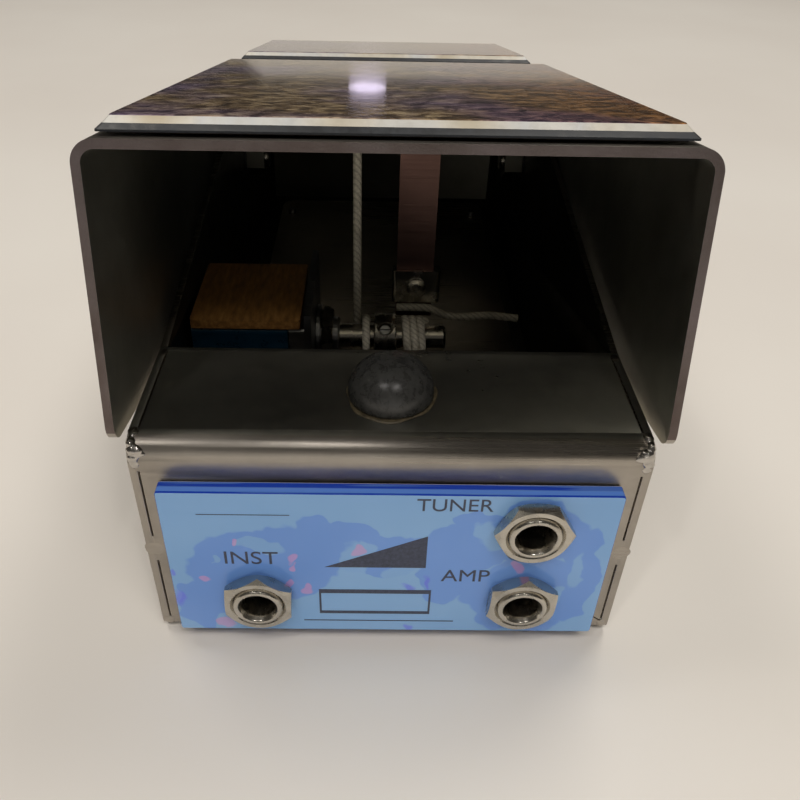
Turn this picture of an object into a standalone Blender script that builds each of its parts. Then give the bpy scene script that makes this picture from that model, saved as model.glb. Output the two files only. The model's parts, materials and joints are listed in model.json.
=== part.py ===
"""Volume pedal with a rocking treadle, a cord-driven potentiometer and three jacks.

Every length in this script is in millimetres, in the pedal's own frame: x runs across the
pedal, y runs back from the front face of the base, and z runs up from the floor.
A root empty moves the finished pedal so that its box is centred on the origin.
"""
from math import atan2, cos, hypot, pi, radians, sin, tan

import bmesh
import bpy
from mathutils import Matrix, Vector

MM = 0.001
GAP = 0.3                      # clearance between touching pieces

# --- driving dimensions ---------------------------------------------------------------------
BASE_WIDTH = 92.0
BASE_LENGTH = 221.0
BASE_HEIGHT = 50.0
BASE_REAR_HEIGHT = 52.3
BASE_MIDDLE_HEIGHT = 61.0      # side walls rise around the hinge
BASE_BOTTOM = 1.0
SHEET = 1.5                    # stainless steel sheet
BEND_RADIUS = 4.5
FRONT_LIP = 30.0
REAR_LIP = 17.0

HINGE_Y = 150.0
HINGE_Z = 45.0
TREADLE_CLEARANCE = 1.15
TREADLE_FRONT_Y = 12.0
TREADLE_FRONT_Z = 98.2
TREADLE_SLOPE = radians(10.2)
TREADLE_LENGTH = 224.5
TREADLE_DEPTH = 49.7
TREADLE_TIP_LEAN = 3.3

PLATE_WIDTH = 90.6
PLATE_THICKNESS = 2.3
TAPE_THICKNESS = 0.2
TOE_PLATE = (2.3, 121.0)       # from and to, along the treadle
HEEL_PLATE = (150.5, 223.6)

JACK_PANEL_WIDTH = 82.6
JACK_PANEL_BOTTOM = 4.2
JACK_PANEL_TOP = 41.8
JACK_PANEL_FACE = -3.3          # 3 mm acrylic in front of the base
JACKS = {"input_jack": (-24.9, 14.5), "tuner_jack": (25.9, 34.1), "output_jack": (25.9, 14.7)}
NUT_TURNS = (0.48, 0.0, 0.45)   # how each hexagon ended up when it was tightened
JACK_THREAD_RADIUS = 4.75
JACK_BORE_RADIUS = 3.25
JACK_MOUTH_RADIUS = 3.8
JACK_FRONT = -6.6
HEX_ACROSS_FLATS = 12.7

BUMPER_RADIUS = 8.0
BUMPER_HEIGHT = 7.7
TOE_BUMPER_Y = 15.0
HEEL_BUMPER_Y = 212.0

SHAFT_Y = 57.2
SHAFT_Z = 35.8
SHAFT_RADIUS = 3.175
SHAFT_END = 13.8
POT_X = (-43.3, -18.5)
POT_Y = (44.9, 70.8)
POT_Z = (22.5, 45.1)
POT_CASE_SPLIT = -21.9         # plastic housing to the left, metal front case to the right
CORD_RADIUS = 0.95

STRAP_X = (2.1, 10.8)
STRAP_Y = (65.4, 66.3)
STRAP_BOTTOM = 37.0

# --- worked out from them -------------------------------------------------------------------
HALF_BASE = BASE_WIDTH / 2
TREADLE_INNER = HALF_BASE + TREADLE_CLEARANCE
TREADLE_OUTER = TREADLE_INNER + SHEET
TREADLE_REAR_Y = TREADLE_FRONT_Y + TREADLE_LENGTH * cos(TREADLE_SLOPE)
CENTRE_Y = (JACK_FRONT + TREADLE_REAR_Y) / 2
COVER_Z = (BASE_BOTTOM + SHEET + GAP, BASE_BOTTOM + SHEET + GAP + 1.2)
CORD_Y = SHAFT_Y + SHAFT_RADIUS + CORD_RADIUS + 1.1    # clears the shaft over the whole travel
CORD_X = -7.15
COVER_SCREWS = [(side * 36.0, along) for side in (-1, 1) for along in (24.0, 200.0)]
BRACKET_X = (POT_X[1] + GAP, POT_X[1] + GAP + SHEET)
BRACKET_SCREWS = [(-30.0, 50.0), (-30.0, 67.0)]
FOOT_Z = (COVER_Z[1] + GAP, COVER_Z[1] + GAP + SHEET)
POT_LUGS = (-38.0, -32.5, -27.0)
POT_LUG_Z = 27.0
COLLAR_X = (-3.1, 2.1)
COLLAR_RADIUS = 5.8
SET_SCREW_TURN = radians(37)    # the set screw faces forwards and up
ANCHOR = (CORD_X, 52.2)         # cord anchor: across, along the treadle
STRAP_RIVET = (6.4, 62.3)       # rivet of the strap's foot: across, along the treadle
STRAP_THICKNESS = STRAP_Y[1] - STRAP_Y[0]
CLIP_RIVET = (6.8, 45.3)        # across and up
CLIP_X = (1.1, 12.5)
CLIP_Z = (41.3, 49.6)
POT_BRACKET_TOP = 50.5


# --- helpers --------------------------------------------------------------------------------
def clear_scene():
    for thing in list(bpy.data.objects):
        bpy.data.objects.remove(thing, do_unlink=True)


def material(name, colour, roughness, metallic=0.0, alpha=1.0):
    made = bpy.data.materials.new(name)
    made.use_nodes = True
    shader = made.node_tree.nodes["Principled BSDF"]
    shader.inputs["Base Color"].default_value = (*colour, 1.0)
    shader.inputs["Roughness"].default_value = roughness
    shader.inputs["Metallic"].default_value = metallic
    shader.inputs["Alpha"].default_value = alpha
    made.diffuse_color = (*colour, alpha)
    return made


def empty(name, location, parent=None, tilt=0.0):
    made = bpy.data.objects.new(name, None)
    made.location = [value * MM for value in location]
    made.rotation_euler = (tilt, 0, 0)
    made.parent = parent
    bpy.context.scene.collection.objects.link(made)
    return made


def add_mesh(name, bm, frame, offset=(0, 0, 0)):
    """Makes an object of a bmesh in millimetres, as a child of the frame."""
    bmesh.ops.translate(bm, vec=Vector(offset), verts=bm.verts)
    bmesh.ops.scale(bm, vec=(MM, MM, MM), verts=bm.verts)
    bmesh.ops.recalc_face_normals(bm, faces=bm.faces)
    mesh = bpy.data.meshes.new(name)
    bm.to_mesh(mesh)
    bm.free()
    mesh.shade_smooth()
    mesh.set_sharp_from_angle(angle=radians(30))
    made = bpy.data.objects.new(name, mesh)
    made.parent = frame
    bpy.context.scene.collection.objects.link(made)
    return made


AXES = {"X": Matrix(((0, 0, 1), (1, 0, 0), (0, 1, 0))),
        "Y": Matrix(((1, 0, 0), (0, 0, -1), (0, 1, 0))),
        "Z": Matrix.Identity(3)}


def prism_bmesh(outline, axis, low, high):
    """A flat outline pushed from low to high along an axis.

    The outline's two numbers are (y, z) for X, (x, z) for Y and (x, y) for Z.
    """
    bm = bmesh.new()
    sign = -1 if axis == "Y" else 1
    turn = AXES[axis]
    ring = [bm.verts.new(turn @ Vector((a, b, sign * low))) for a, b in outline]
    face = bm.faces.new(ring)
    push = turn @ Vector((0, 0, sign * (high - low)))
    made = bmesh.ops.extrude_face_region(bm, geom=[face])
    bmesh.ops.translate(bm, vec=push, verts=[v for v in made["geom"] if isinstance(v, bmesh.types.BMVert)])
    return bm


def prism(name, outline, axis, low, high, frame, offset=(0, 0, 0)):
    return add_mesh(name, prism_bmesh(outline, axis, low, high), frame, offset)


def merge(bms):
    """Several closed shapes in one bmesh, as separate solids."""
    whole = bmesh.new()
    for bm in bms:
        mesh = bpy.data.meshes.new("piece")
        bm.to_mesh(mesh)
        bm.free()
        whole.from_mesh(mesh)
        bpy.data.meshes.remove(mesh)
    return whole


def box_outline(a0, a1, b0, b1):
    return [(a0, b0), (a1, b0), (a1, b1), (a0, b1)]


def rounded(points, radii, steps=5):
    """An outline whose corners are arcs; a radius of 0 leaves the corner sharp."""
    outline = []
    count = len(points)
    for index, radius in enumerate(radii):
        here = Vector(points[index])
        if radius == 0:
            outline.append(tuple(here))
            continue
        back = (Vector(points[index - 1]) - here).normalized()
        ahead = (Vector(points[(index + 1) % count]) - here).normalized()
        half = back.angle(ahead) / 2
        reach = radius / tan(half)
        start = here + back * reach
        end = here + ahead * reach
        centre = here + (back + ahead).normalized() * (radius / sin(half))
        first = atan2(start.y - centre.y, start.x - centre.x)
        sweep = atan2(end.y - centre.y, end.x - centre.x) - first
        sweep = (sweep + pi) % (2 * pi) - pi
        for step in range(steps + 1):
            angle = first + sweep * step / steps
            outline.append((centre.x + radius * cos(angle), centre.y + radius * sin(angle)))
    return outline


def round_box_outline(a0, a1, b0, b1, radius, steps=4):
    return rounded(box_outline(a0, a1, b0, b1), [radius] * 4, steps)


def circle_outline(centre, radius, sides=32):
    return [(centre[0] + radius * cos(2 * pi * side / sides), centre[1] + radius * sin(2 * pi * side / sides))
            for side in range(sides)]


def hexagon(centre, across_flats, turn=0.0):
    corner = across_flats / 2 / cos(pi / 6)
    return [(centre[0] + corner * cos(turn + pi / 3 * side), centre[1] + corner * sin(turn + pi / 3 * side))
            for side in range(6)]


def turned_bmesh(profile, axis, centre, sides=32):
    """A closed profile of (radius, along) spun about an axis through the centre."""
    bm = bmesh.new()
    rings = []
    for radius, along in profile:
        if radius == 0:
            rings.append([bm.verts.new((0, 0, along))])
        else:
            rings.append([bm.verts.new((x, y, along)) for x, y in circle_outline((0, 0), radius, sides)])
    count = len(rings)
    closed = all(radius > 0 for radius, _ in profile)
    for index in range(count if closed else count - 1):
        lower, upper = rings[index], rings[(index + 1) % count]
        for side in range(sides):
            after = (side + 1) % sides
            corners = [lower[side % len(lower)], lower[after % len(lower)],
                       upper[after % len(upper)], upper[side % len(upper)]]
            unique = list(dict.fromkeys(corners))
            if len(unique) > 2:
                bm.faces.new(unique)
    turn = {"X": Matrix.Rotation(pi / 2, 3, "Y"), "Y": Matrix.Rotation(-pi / 2, 3, "X"),
            "Z": Matrix.Identity(3)}[axis]
    bmesh.ops.transform(bm, matrix=turn.to_4x4(), verts=bm.verts)
    bmesh.ops.translate(bm, vec=Vector(centre), verts=bm.verts)
    return bm


def turned(name, profile, axis, centre, frame, sides=32):
    return add_mesh(name, turned_bmesh(profile, axis, centre, sides), frame)


def tube_profile(inner, outer, low, high):
    return [(inner, low), (outer, low), (outer, high), (inner, high)]


def rod_profile(radius, low, high, chamfer=0.0):
    if chamfer == 0:
        return [(0, low), (radius, low), (radius, high), (0, high)]
    return [(0, low), (radius - chamfer, low), (radius, low + chamfer), (radius, high - chamfer),
            (radius - chamfer, high), (0, high)]


def combine(target, tool, operation):
    """Boolean with a tool object, which stays in the file as a wire guide."""
    tool.hide_render = True
    tool.display_type = "WIRE"
    modifier = target.modifiers.new(operation.lower() + "_" + tool.name, "BOOLEAN")
    modifier.operation = operation
    modifier.solver = "EXACT"
    modifier.object = tool


def cut_rods(target, name, places, axis, radius, low, high, frame):
    """Cuts a row of equal round holes along one axis; a place is (a, b) across that axis."""
    rods = [prism_bmesh(circle_outline(place, radius, 32), axis, low, high) for place in places]
    combine(target, add_mesh(name, merge(rods), frame), "DIFFERENCE")


def smooth_route(points, spacing):
    """Evenly spaced points on a smooth curve through a route's own points."""
    knots = [Vector(point) for point in points]
    knots = [2 * knots[0] - knots[1]] + knots + [2 * knots[-1] - knots[-2]]
    fine = []
    for a, b, c, d in zip(knots, knots[1:], knots[2:], knots[3:]):
        for step in range(24):
            t = step / 24
            fine.append(0.5 * (2 * b + (c - a) * t + (2 * a - 5 * b + 4 * c - d) * t * t
                               + (3 * b - a - 3 * c + d) * t ** 3))
    fine.append(knots[-2])
    total = sum((after - before).length for before, after in zip(fine, fine[1:]))
    count = max(2, round(total / spacing))
    route = [fine[0]]
    walked = 0.0
    for before, after in zip(fine, fine[1:]):
        walked += (after - before).length
        if walked >= total * len(route) / count and len(route) < count:
            route.append(after)
    route.append(fine[-1])
    return route


def tube(name, points, radius, frame, spacing, resolution=2):
    curve = bpy.data.curves.new(name, "CURVE")
    curve.dimensions = "3D"
    curve.bevel_depth = radius * MM
    curve.bevel_resolution = resolution
    curve.use_fill_caps = True
    route = smooth_route(points, spacing)
    spline = curve.splines.new("POLY")
    spline.points.add(len(route) - 1)
    for target, point in zip(spline.points, route):
        target.co = (*(point * MM), 1)
    made = bpy.data.objects.new(name, curve)
    made.parent = frame
    bpy.context.scene.collection.objects.link(made)
    return made


def paint(thing, colour):
    thing.data.materials.append(colour)
    return thing


# --- base -----------------------------------------------------------------------------------
def base_side_outline():
    points = [(0, BASE_BOTTOM), (0, BASE_HEIGHT), (FRONT_LIP, BASE_HEIGHT), (110, BASE_MIDDLE_HEIGHT - 1),
              (HINGE_Y + 12, BASE_MIDDLE_HEIGHT), (BASE_LENGTH - REAR_LIP, BASE_REAR_HEIGHT),
              (BASE_LENGTH, BASE_REAR_HEIGHT), (BASE_LENGTH, BASE_BOTTOM)]
    return rounded(points, [1.5, BEND_RADIUS, 6, 30, 20, 6, BEND_RADIUS, 1.5])


def base_inside_outline():
    """The inside of the folded shell, open upwards between the two lips."""
    low = BASE_BOTTOM + SHEET
    rear = BASE_LENGTH - REAR_LIP
    above = BASE_MIDDLE_HEIGHT + 5
    points = [(SHEET, low), (SHEET, BASE_HEIGHT - SHEET), (FRONT_LIP, BASE_HEIGHT - SHEET), (FRONT_LIP, above),
              (rear, above), (rear, BASE_REAR_HEIGHT - SHEET), (BASE_LENGTH - SHEET, BASE_REAR_HEIGHT - SHEET),
              (BASE_LENGTH - SHEET, low)]
    inner = BEND_RADIUS - SHEET
    return rounded(points, [0, inner, 0, 0, 0, 0, inner, 0])


def base_shell(frame, steel):
    shell = prism("base_shell", base_side_outline(), "X", -HALF_BASE, HALF_BASE, frame)
    inner = HALF_BASE - SHEET
    combine(shell, prism("base_inside", base_inside_outline(), "X", -inner, inner, frame), "DIFFERENCE")
    window = round_box_outline(-32, 32, 18, BASE_LENGTH - 17, 5)
    combine(shell, prism("base_window", window, "Z", 0, BASE_BOTTOM + SHEET + 1, frame), "DIFFERENCE")
    cut_rods(shell, "jack_holes", JACKS.values(), "Y", JACK_THREAD_RADIUS + GAP, -2, SHEET + 2, frame)
    cut_rods(shell, "bush_holes", [(HINGE_Y, HINGE_Z)], "X", 5.0, -HALF_BASE - 2, HALF_BASE + 2, frame)
    sinks = [turned_bmesh([(0, 0.5), (3.2, 0.5), (3.2, 1.0), (1.6, 2.6), (1.6, 4), (0, 4)], "Z", (*place, 0), 24)
             for place in COVER_SCREWS]
    combine(shell, add_mesh("cover_screw_holes", merge(sinks), frame), "DIFFERENCE")
    return paint(shell, steel)


def bottom_cover(frame, steel):
    cover = prism("bottom_cover", round_box_outline(-40.3, 40.3, 10, 212, 5), "Z", *COVER_Z, frame)
    cut_rods(cover, "cover_holes", COVER_SCREWS, "Z", 1.6, COVER_Z[0] - 1, COVER_Z[1] + 1, frame)
    cut_rods(cover, "bracket_holes_below", BRACKET_SCREWS, "Z", 1.6, COVER_Z[0] - 1, COVER_Z[1] + 1, frame)
    return paint(cover, steel)


def cover_screws(frame, steel):
    profile = [(0, BASE_BOTTOM), (2.8, BASE_BOTTOM), (1.3, 2.5), (1.3, 5.5), (0, 5.5)]
    for number, place in enumerate(COVER_SCREWS, 1):
        paint(turned(f"cover_screw_{number}", profile, "Z", (*place, 0), frame, 24), steel)


def rubber_sole(frame, rubber):
    outline = round_box_outline(-HALF_BASE + 2.5, HALF_BASE - 2.5, 2.5, BASE_LENGTH - 2.5, 4)
    paint(prism("rubber_sole", outline, "Z", 0, BASE_BOTTOM - GAP, frame), rubber)


def bumper(name, along, floor, frame, rubber):
    steps = 8
    profile = [(0, floor + GAP), (BUMPER_RADIUS, floor + GAP)]
    rim = 0.9
    height = BUMPER_HEIGHT - rim
    for step in range(steps + 1):
        angle = pi / 2 * step / steps
        radius = BUMPER_RADIUS * cos(angle) if step < steps else 0
        profile.append((radius, floor + GAP + rim + height * sin(angle)))
    paint(turned(name, profile, "Z", (0, along, 0), frame), rubber)


# --- jack panel and jacks -------------------------------------------------------------------
def jack_panel(frame, acrylic):
    half = JACK_PANEL_WIDTH / 2
    outline = round_box_outline(-half, half, JACK_PANEL_BOTTOM, JACK_PANEL_TOP, 0.8, 3)
    panel = prism("jack_panel", outline, "Y", JACK_PANEL_FACE, -GAP, frame)
    cut_rods(panel, "panel_holes", JACKS.values(), "Y", JACK_THREAD_RADIUS + GAP, -5, 1, frame)
    paint(panel, acrylic)


def jack(name, centre, frame, metal, insulator, spring_metal):
    x, z = centre
    front, back, leg_end = SHEET + GAP, SHEET + GAP + 1.2, 22.0
    bracket = [(x - 6.4, front), (x + 8.6, front), (x + 8.6, leg_end), (x + 7.4, leg_end), (x + 7.4, back),
               (x - 6.4, back)]
    body = prism(name, bracket, "Z", z - 5.2, z + 5.2, frame)
    thread = [(0, JACK_FRONT), (JACK_THREAD_RADIUS - 0.4, JACK_FRONT), (JACK_THREAD_RADIUS, JACK_FRONT + 0.4),
              (JACK_THREAD_RADIUS, front + 0.6), (0, front + 0.6)]
    combine(body, turned(name + "_thread", thread, "Y", (x, 0, z), frame), "UNION")
    bore = [(0, JACK_FRONT - 1), (JACK_MOUTH_RADIUS + 0.5, JACK_FRONT - 1), (JACK_MOUTH_RADIUS, JACK_FRONT),
            (JACK_BORE_RADIUS, JACK_FRONT + 0.9), (JACK_BORE_RADIUS, back + 1), (0, back + 1)]
    combine(body, turned(name + "_bore", bore, "Y", (x, 0, z), frame), "DIFFERENCE")
    paint(body, metal)
    block = prism(name + "_insulator", box_outline(x + 4.3, x + 7.1, 14.5, 21.5), "Z", z - 4.5, z + 4.5, frame)
    paint(block, insulator)
    leaf = [(x + 3.5, 13.5), (x + 4.0, 13.5), (x + 4.0, 23.2), (x + 1.9, 25.6), (x + 3.6, 28.2), (x + 3.1, 28.5),
            (x + 1.2, 25.6), (x + 3.5, 22.9)]
    paint(prism(name + "_contact", leaf, "Z", z - 2.2, z + 2.2, frame), spring_metal)


def jack_nut(name, centre, turn, frame, metal):
    nut = prism(name, hexagon(centre, HEX_ACROSS_FLATS, turn), "Y", JACK_FRONT + 0.5, JACK_PANEL_FACE - GAP, frame)
    cut_rods(nut, name + "_bore", [centre], "Y", JACK_THREAD_RADIUS + GAP, JACK_FRONT - 1, -2, frame)
    paint(nut, metal)


# --- potentiometer --------------------------------------------------------------------------


def pot_bracket(frame, steel):
    outline = rounded([(-40, FOOT_Z[0]), (BRACKET_X[1], FOOT_Z[0]), (BRACKET_X[1], POT_BRACKET_TOP),
                       (BRACKET_X[0], POT_BRACKET_TOP),
                       (BRACKET_X[0], FOOT_Z[1]), (-40, FOOT_Z[1])], [0, 2.5, 0, 0, 1.0, 0], 5)
    bracket = prism("pot_bracket", outline, "Y", POT_Y[0] - 3, POT_Y[1] + 2, frame)
    cut_rods(bracket, "pot_hole", [(SHAFT_Y, SHAFT_Z)], "X", JACK_THREAD_RADIUS + GAP, BRACKET_X[0] - 1,
             BRACKET_X[1] + 1, frame)
    cut_rods(bracket, "foot_holes", BRACKET_SCREWS, "Z", 1.8, FOOT_Z[0] - 1, FOOT_Z[1] + 1, frame)
    paint(bracket, steel)
    head = FOOT_Z[1] + GAP
    profile = [(0, BASE_BOTTOM + 0.6), (1.3, BASE_BOTTOM + 0.6), (1.3, head), (2.8, head), (2.8, head + 1.4),
               (2.2, head + 2.0), (0, head + 2.0)]
    for number, place in enumerate(BRACKET_SCREWS, 1):
        paint(turned(f"bracket_screw_{number}", profile, "Z", (*place, 0), frame, 24), steel)


def potentiometer(frame, plastic, board_brown, metal, brass):
    paint(prism("pot_housing", round_box_outline(*POT_Y, *POT_Z, 1.0, 3), "X", POT_X[0], POT_CASE_SPLIT - GAP,
                frame), plastic)
    case = prism("pot_front_case", round_box_outline(*POT_Y, *POT_Z, 1.0, 3), "X", POT_CASE_SPLIT, POT_X[1], frame)
    combine(case, turned("pot_thread", rod_profile(JACK_THREAD_RADIUS, POT_X[1] - 1, -11.2, 0.4), "X",
                         (0, SHAFT_Y, SHAFT_Z), frame), "UNION")
    cut_rods(case, "pot_bore", [(SHAFT_Y, SHAFT_Z)], "X", SHAFT_RADIUS + GAP, POT_CASE_SPLIT - 1, -10, frame)
    paint(case, metal)
    board = round_box_outline(POT_X[0], POT_X[1] - 0.8, POT_Y[0] - 0.2, POT_Y[1] + 0.2, 0.6, 3)
    paint(prism("pot_board", board, "Z", POT_Z[1] + GAP, POT_Z[1] + GAP + 2.2, frame), board_brown)
    for number, x in enumerate(POT_LUGS, 1):
        outline = round_box_outline(x - 1.3, x + 1.3, POT_Y[0] - 6.5, POT_Y[0] - GAP, 0.6, 2)
        paint(prism(f"pot_lug_{number}", outline, "Z", POT_LUG_Z, POT_LUG_Z + 0.6, frame), brass)
    washer = tube_profile(JACK_THREAD_RADIUS + GAP, 7.6, BRACKET_X[1] + GAP, BRACKET_X[1] + GAP + 0.8)
    paint(turned("pot_washer", washer, "X", (0, SHAFT_Y, SHAFT_Z), frame), metal)
    nut_low = BRACKET_X[1] + 2 * GAP + 0.8
    nut = prism("pot_nut", hexagon((SHAFT_Y, SHAFT_Z), HEX_ACROSS_FLATS, 0.2), "X", nut_low, nut_low + 2.6, frame)
    cut_rods(nut, "pot_nut_bore", [(SHAFT_Y, SHAFT_Z)], "X", JACK_THREAD_RADIUS + GAP, nut_low - 1, nut_low + 4,
             frame)
    paint(nut, metal)


def drum(frame, metal, dark_metal, cord_white):
    """Everything that turns with the potentiometer shaft; x is the axis of this frame."""
    paint(turned("pot_shaft", rod_profile(SHAFT_RADIUS, POT_CASE_SPLIT + 1, SHAFT_END, 0.5), "X", (0, 0, 0),
                 frame), metal)
    collar = turned("cord_collar", tube_profile(SHAFT_RADIUS + GAP, COLLAR_RADIUS, *COLLAR_X), "X", (0, 0, 0), frame)
    middle = sum(COLLAR_X) / 2
    hole = turned("set_screw_hole", rod_profile(1.7, 1.0, 7.0), "Z", (middle, 0, 0), frame, 24)
    hole.rotation_euler = (SET_SCREW_TURN, 0, 0)
    combine(collar, hole, "DIFFERENCE")
    paint(collar, metal)
    screw = turned("collar_set_screw", rod_profile(1.35, SHAFT_RADIUS + GAP, 5.2, 0.2), "Z", (middle, 0, 0), frame,
                   24)
    socket = turned("set_screw_slot", rod_profile(0.7, 4.5, 6.0), "Z", (middle, 0, 0), frame, 6)
    for piece in (screw, socket):
        piece.rotation_euler = (SET_SCREW_TURN, 0, 0)
    combine(screw, socket, "DIFFERENCE")
    paint(screw, dark_metal)
    for name, first, last in (("cord_wrap_left", -4.95, -4.95), ("cord_wrap_right", 4.0, 9.2)):
        paint(turned(name, wrap_profile(first, last), "X", (0, 0, 0), frame, 24), cord_white)


def wrap_profile(first, last):
    """The outer shape of cord wrapped round the shaft from one place to another."""
    inner = SHAFT_RADIUS + GAP
    corners = box_outline(inner, inner + 2 * CORD_RADIUS, first - CORD_RADIUS, last + CORD_RADIUS)
    return rounded(corners, [CORD_RADIUS * 0.9] * 4, 2)


# --- treadle --------------------------------------------------------------------------------


def treadle_channel(frame, steel):
    """Folded channel, drawn in the treadle's own frame: y runs down the slope, z is normal to it."""
    outer = rounded([(-TREADLE_OUTER, -TREADLE_DEPTH), (-TREADLE_OUTER, 0), (TREADLE_OUTER, 0),
                     (TREADLE_OUTER, -TREADLE_DEPTH), (TREADLE_INNER, -TREADLE_DEPTH), (TREADLE_INNER, -SHEET),
                     (-TREADLE_INNER, -SHEET), (-TREADLE_INNER, -TREADLE_DEPTH)],
                    [0, 3.7, 3.7, 0, 0, 2.2, 2.2, 0])
    channel = prism("treadle", outer, "Y", -TREADLE_TIP_LEAN - 2, TREADLE_LENGTH, frame)
    side = rounded([(0, 2), (-TREADLE_TIP_LEAN, -TREADLE_DEPTH), (TREADLE_LENGTH, -TREADLE_DEPTH),
                    (TREADLE_LENGTH, 2)], [0, 3.0, 5.0, 0])
    combine(channel, prism("treadle_side", side, "X", -TREADLE_OUTER - 2, TREADLE_OUTER + 2, frame), "INTERSECT")
    cut_rods(channel, "treadle_bolt_holes", [treadle_point(HINGE_Y, HINGE_Z)], "X", 3.3, -TREADLE_OUTER - 2,
             TREADLE_OUTER + 2, frame)
    sinks = [turned_bmesh([(0, -3), (1.8, -3), (1.8, -1.5), (3.3, 0), (3.3, 1), (0, 1)], "Z", (*place, 0), 24)
             for place in (ANCHOR, STRAP_RIVET)]
    combine(channel, add_mesh("treadle_screw_holes", merge(sinks), frame), "DIFFERENCE")
    paint(channel, steel)


def treadle_point(y, z):
    """Treadle-frame place of a point of the pedal's frame."""
    along, up = y - TREADLE_FRONT_Y, z - TREADLE_FRONT_Z
    return (along * cos(TREADLE_SLOPE) - up * sin(TREADLE_SLOPE), along * sin(TREADLE_SLOPE) + up * cos(TREADLE_SLOPE))


def tread_plate(name, span, frame, laminate, adhesive):
    """Bevelled laminate plate on its adhesive sheet."""
    half = PLATE_WIDTH / 2
    tape = box_outline(-half + 1.5, half - 1.5, span[0] + 1.2, span[1] - 1.2)
    paint(prism(name + "_adhesive", tape, "Z", GAP, GAP + TAPE_THICKNESS, frame), adhesive)
    low = GAP + TAPE_THICKNESS + GAP
    high = low + PLATE_THICKNESS
    land = 0.4
    bevel = PLATE_THICKNESS - land
    bm = bmesh.new()
    rings = []
    for inset, level in ((0, low), (0, low + land), (bevel * 0.9, high)):
        outline = box_outline(-half + inset, half - inset, span[0] + inset, span[1] - inset)
        rings.append([bm.verts.new((x, y, level)) for x, y in outline])
    bm.faces.new(reversed(rings[0]))
    bm.faces.new(rings[-1])
    for lower, upper in zip(rings, rings[1:]):
        for side in range(4):
            after = (side + 1) % 4
            bm.faces.new((lower[side], lower[after], upper[after], upper[side]))
    paint(add_mesh(name, bm, frame), laminate)


def treadle_studs(frame, steel):
    """The cord's anchor stud and the rivet of the strap's foot, flush under the toe plate."""
    head = [(1.3, -SHEET), (2.7, -0.1), (0, -0.1)]
    anchor = [(0, -7.2), (2.9, -7.2), (3.3, -6.8), (3.3, -SHEET - GAP), (1.3, -SHEET - GAP)]
    paint(turned("cord_anchor", anchor + head, "Z", (*ANCHOR, 0), frame, 32), steel)
    foot = -SHEET - 2 * GAP - STRAP_THICKNESS
    rivet = [(0, foot - 1.0), (1.6, foot - 1.0), (2.4, foot), (1.3, foot)]
    paint(turned("strap_rivet", rivet + head, "Z", (*STRAP_RIVET, 0), frame, 24), steel)


def under_treadle(y, drop):
    """Height of a line parallel to the treadle's underside, at a distance below it."""
    return (TREADLE_FRONT_Z - (y - TREADLE_FRONT_Y) * tan(TREADLE_SLOPE)
            - (SHEET + drop) / cos(TREADLE_SLOPE))


def strap(frame, shift, slope, spring_steel):
    """Spring strip that hangs from its riveted foot and pulls the cord's lower end."""
    near, far = STRAP_Y
    foot_end = near + 13.0
    outline = [(near, STRAP_BOTTOM), (far, STRAP_BOTTOM), (far, under_treadle(far, GAP + STRAP_THICKNESS)),
               (foot_end, under_treadle(foot_end, GAP + STRAP_THICKNESS)), (foot_end, under_treadle(foot_end, GAP)),
               (near, under_treadle(near, GAP))]
    leaf = prism("strap", rounded(outline, [0, 0, 0.8, 0, 0, 1.8], 5), "X", *STRAP_X, frame, shift)
    hole = turned("strap_foot_hole", rod_profile(1.6, -5, 0), "Z", (*STRAP_RIVET, 0), slope, 24)
    combine(leaf, hole, "DIFFERENCE")
    cut_clip_rivet_hole(leaf, "strap_rivet_hole", frame, shift)
    paint(leaf, spring_steel)


def cut_clip_rivet_hole(target, name, frame, shift):
    rod = prism_bmesh(circle_outline(CLIP_RIVET, 1.6, 24), "Y", STRAP_Y[0] - 4, STRAP_Y[1] + 4)
    combine(target, add_mesh(name, rod, frame, shift), "DIFFERENCE")


def strap_clip(frame, shift, steel):
    """Folded sleeve riveted on the strap, above the cord's cross run."""
    front, back, wall = STRAP_Y[0] - GAP, STRAP_Y[1] + GAP, 0.8
    sleeve = box_outline(*CLIP_X, front - wall, back + wall)
    clip = prism("strap_clip", rounded(sleeve, [0.8] * 4, 4), "Z", *CLIP_Z, frame, shift)
    slot = prism("clip_slot", box_outline(STRAP_X[0] - GAP, STRAP_X[1] + GAP, front, back), "Z", CLIP_Z[0] - 1,
                 CLIP_Z[1] + 1, frame, shift)
    combine(clip, slot, "DIFFERENCE")
    cut_clip_rivet_hole(clip, "clip_rivet_hole", frame, shift)
    paint(clip, steel)
    low, high = front - wall - GAP, back + wall + GAP
    x, z = CLIP_RIVET
    profile = [(0, low - 1.0), (1.6, low - 1.0), (2.3, low - 0.4), (2.3, low), (1.3, low), (1.3, high),
               (2.3, high), (2.3, high + 0.5), (0, high + 0.5)]
    paint(add_mesh("clip_rivet", turned_bmesh(profile, "Y", (x, 0, z), 24), frame, shift), steel)


def drive_cord(frame, shift, cord_white):
    """The cord's straight run, from the anchor to the shaft, and its loose tail across the strap."""
    top_y, top_z = CORD_Y, under_treadle(CORD_Y, 6.3)
    tail_y = STRAP_Y[0] - GAP - CORD_RADIUS - 0.1
    tail = ((2.3, 40.0), (6.5, 40.05), (10.4, 39.8), (14.2, 38.0), (18.5, 37.6), (25.0, 38.1), (32.1, 37.3))
    runs = {"drive_cord": [(CORD_X, CORD_Y, SHAFT_Z - 1), (CORD_X, CORD_Y, 60), (CORD_X, top_y, top_z)],
            "cord_tail": [(x, tail_y, z) for x, z in tail]}
    for name, points in runs.items():
        placed = [Vector(point) + Vector(shift) for point in points]
        paint(tube(name, placed, CORD_RADIUS, frame, 3 * CORD_RADIUS), cord_white)


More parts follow.
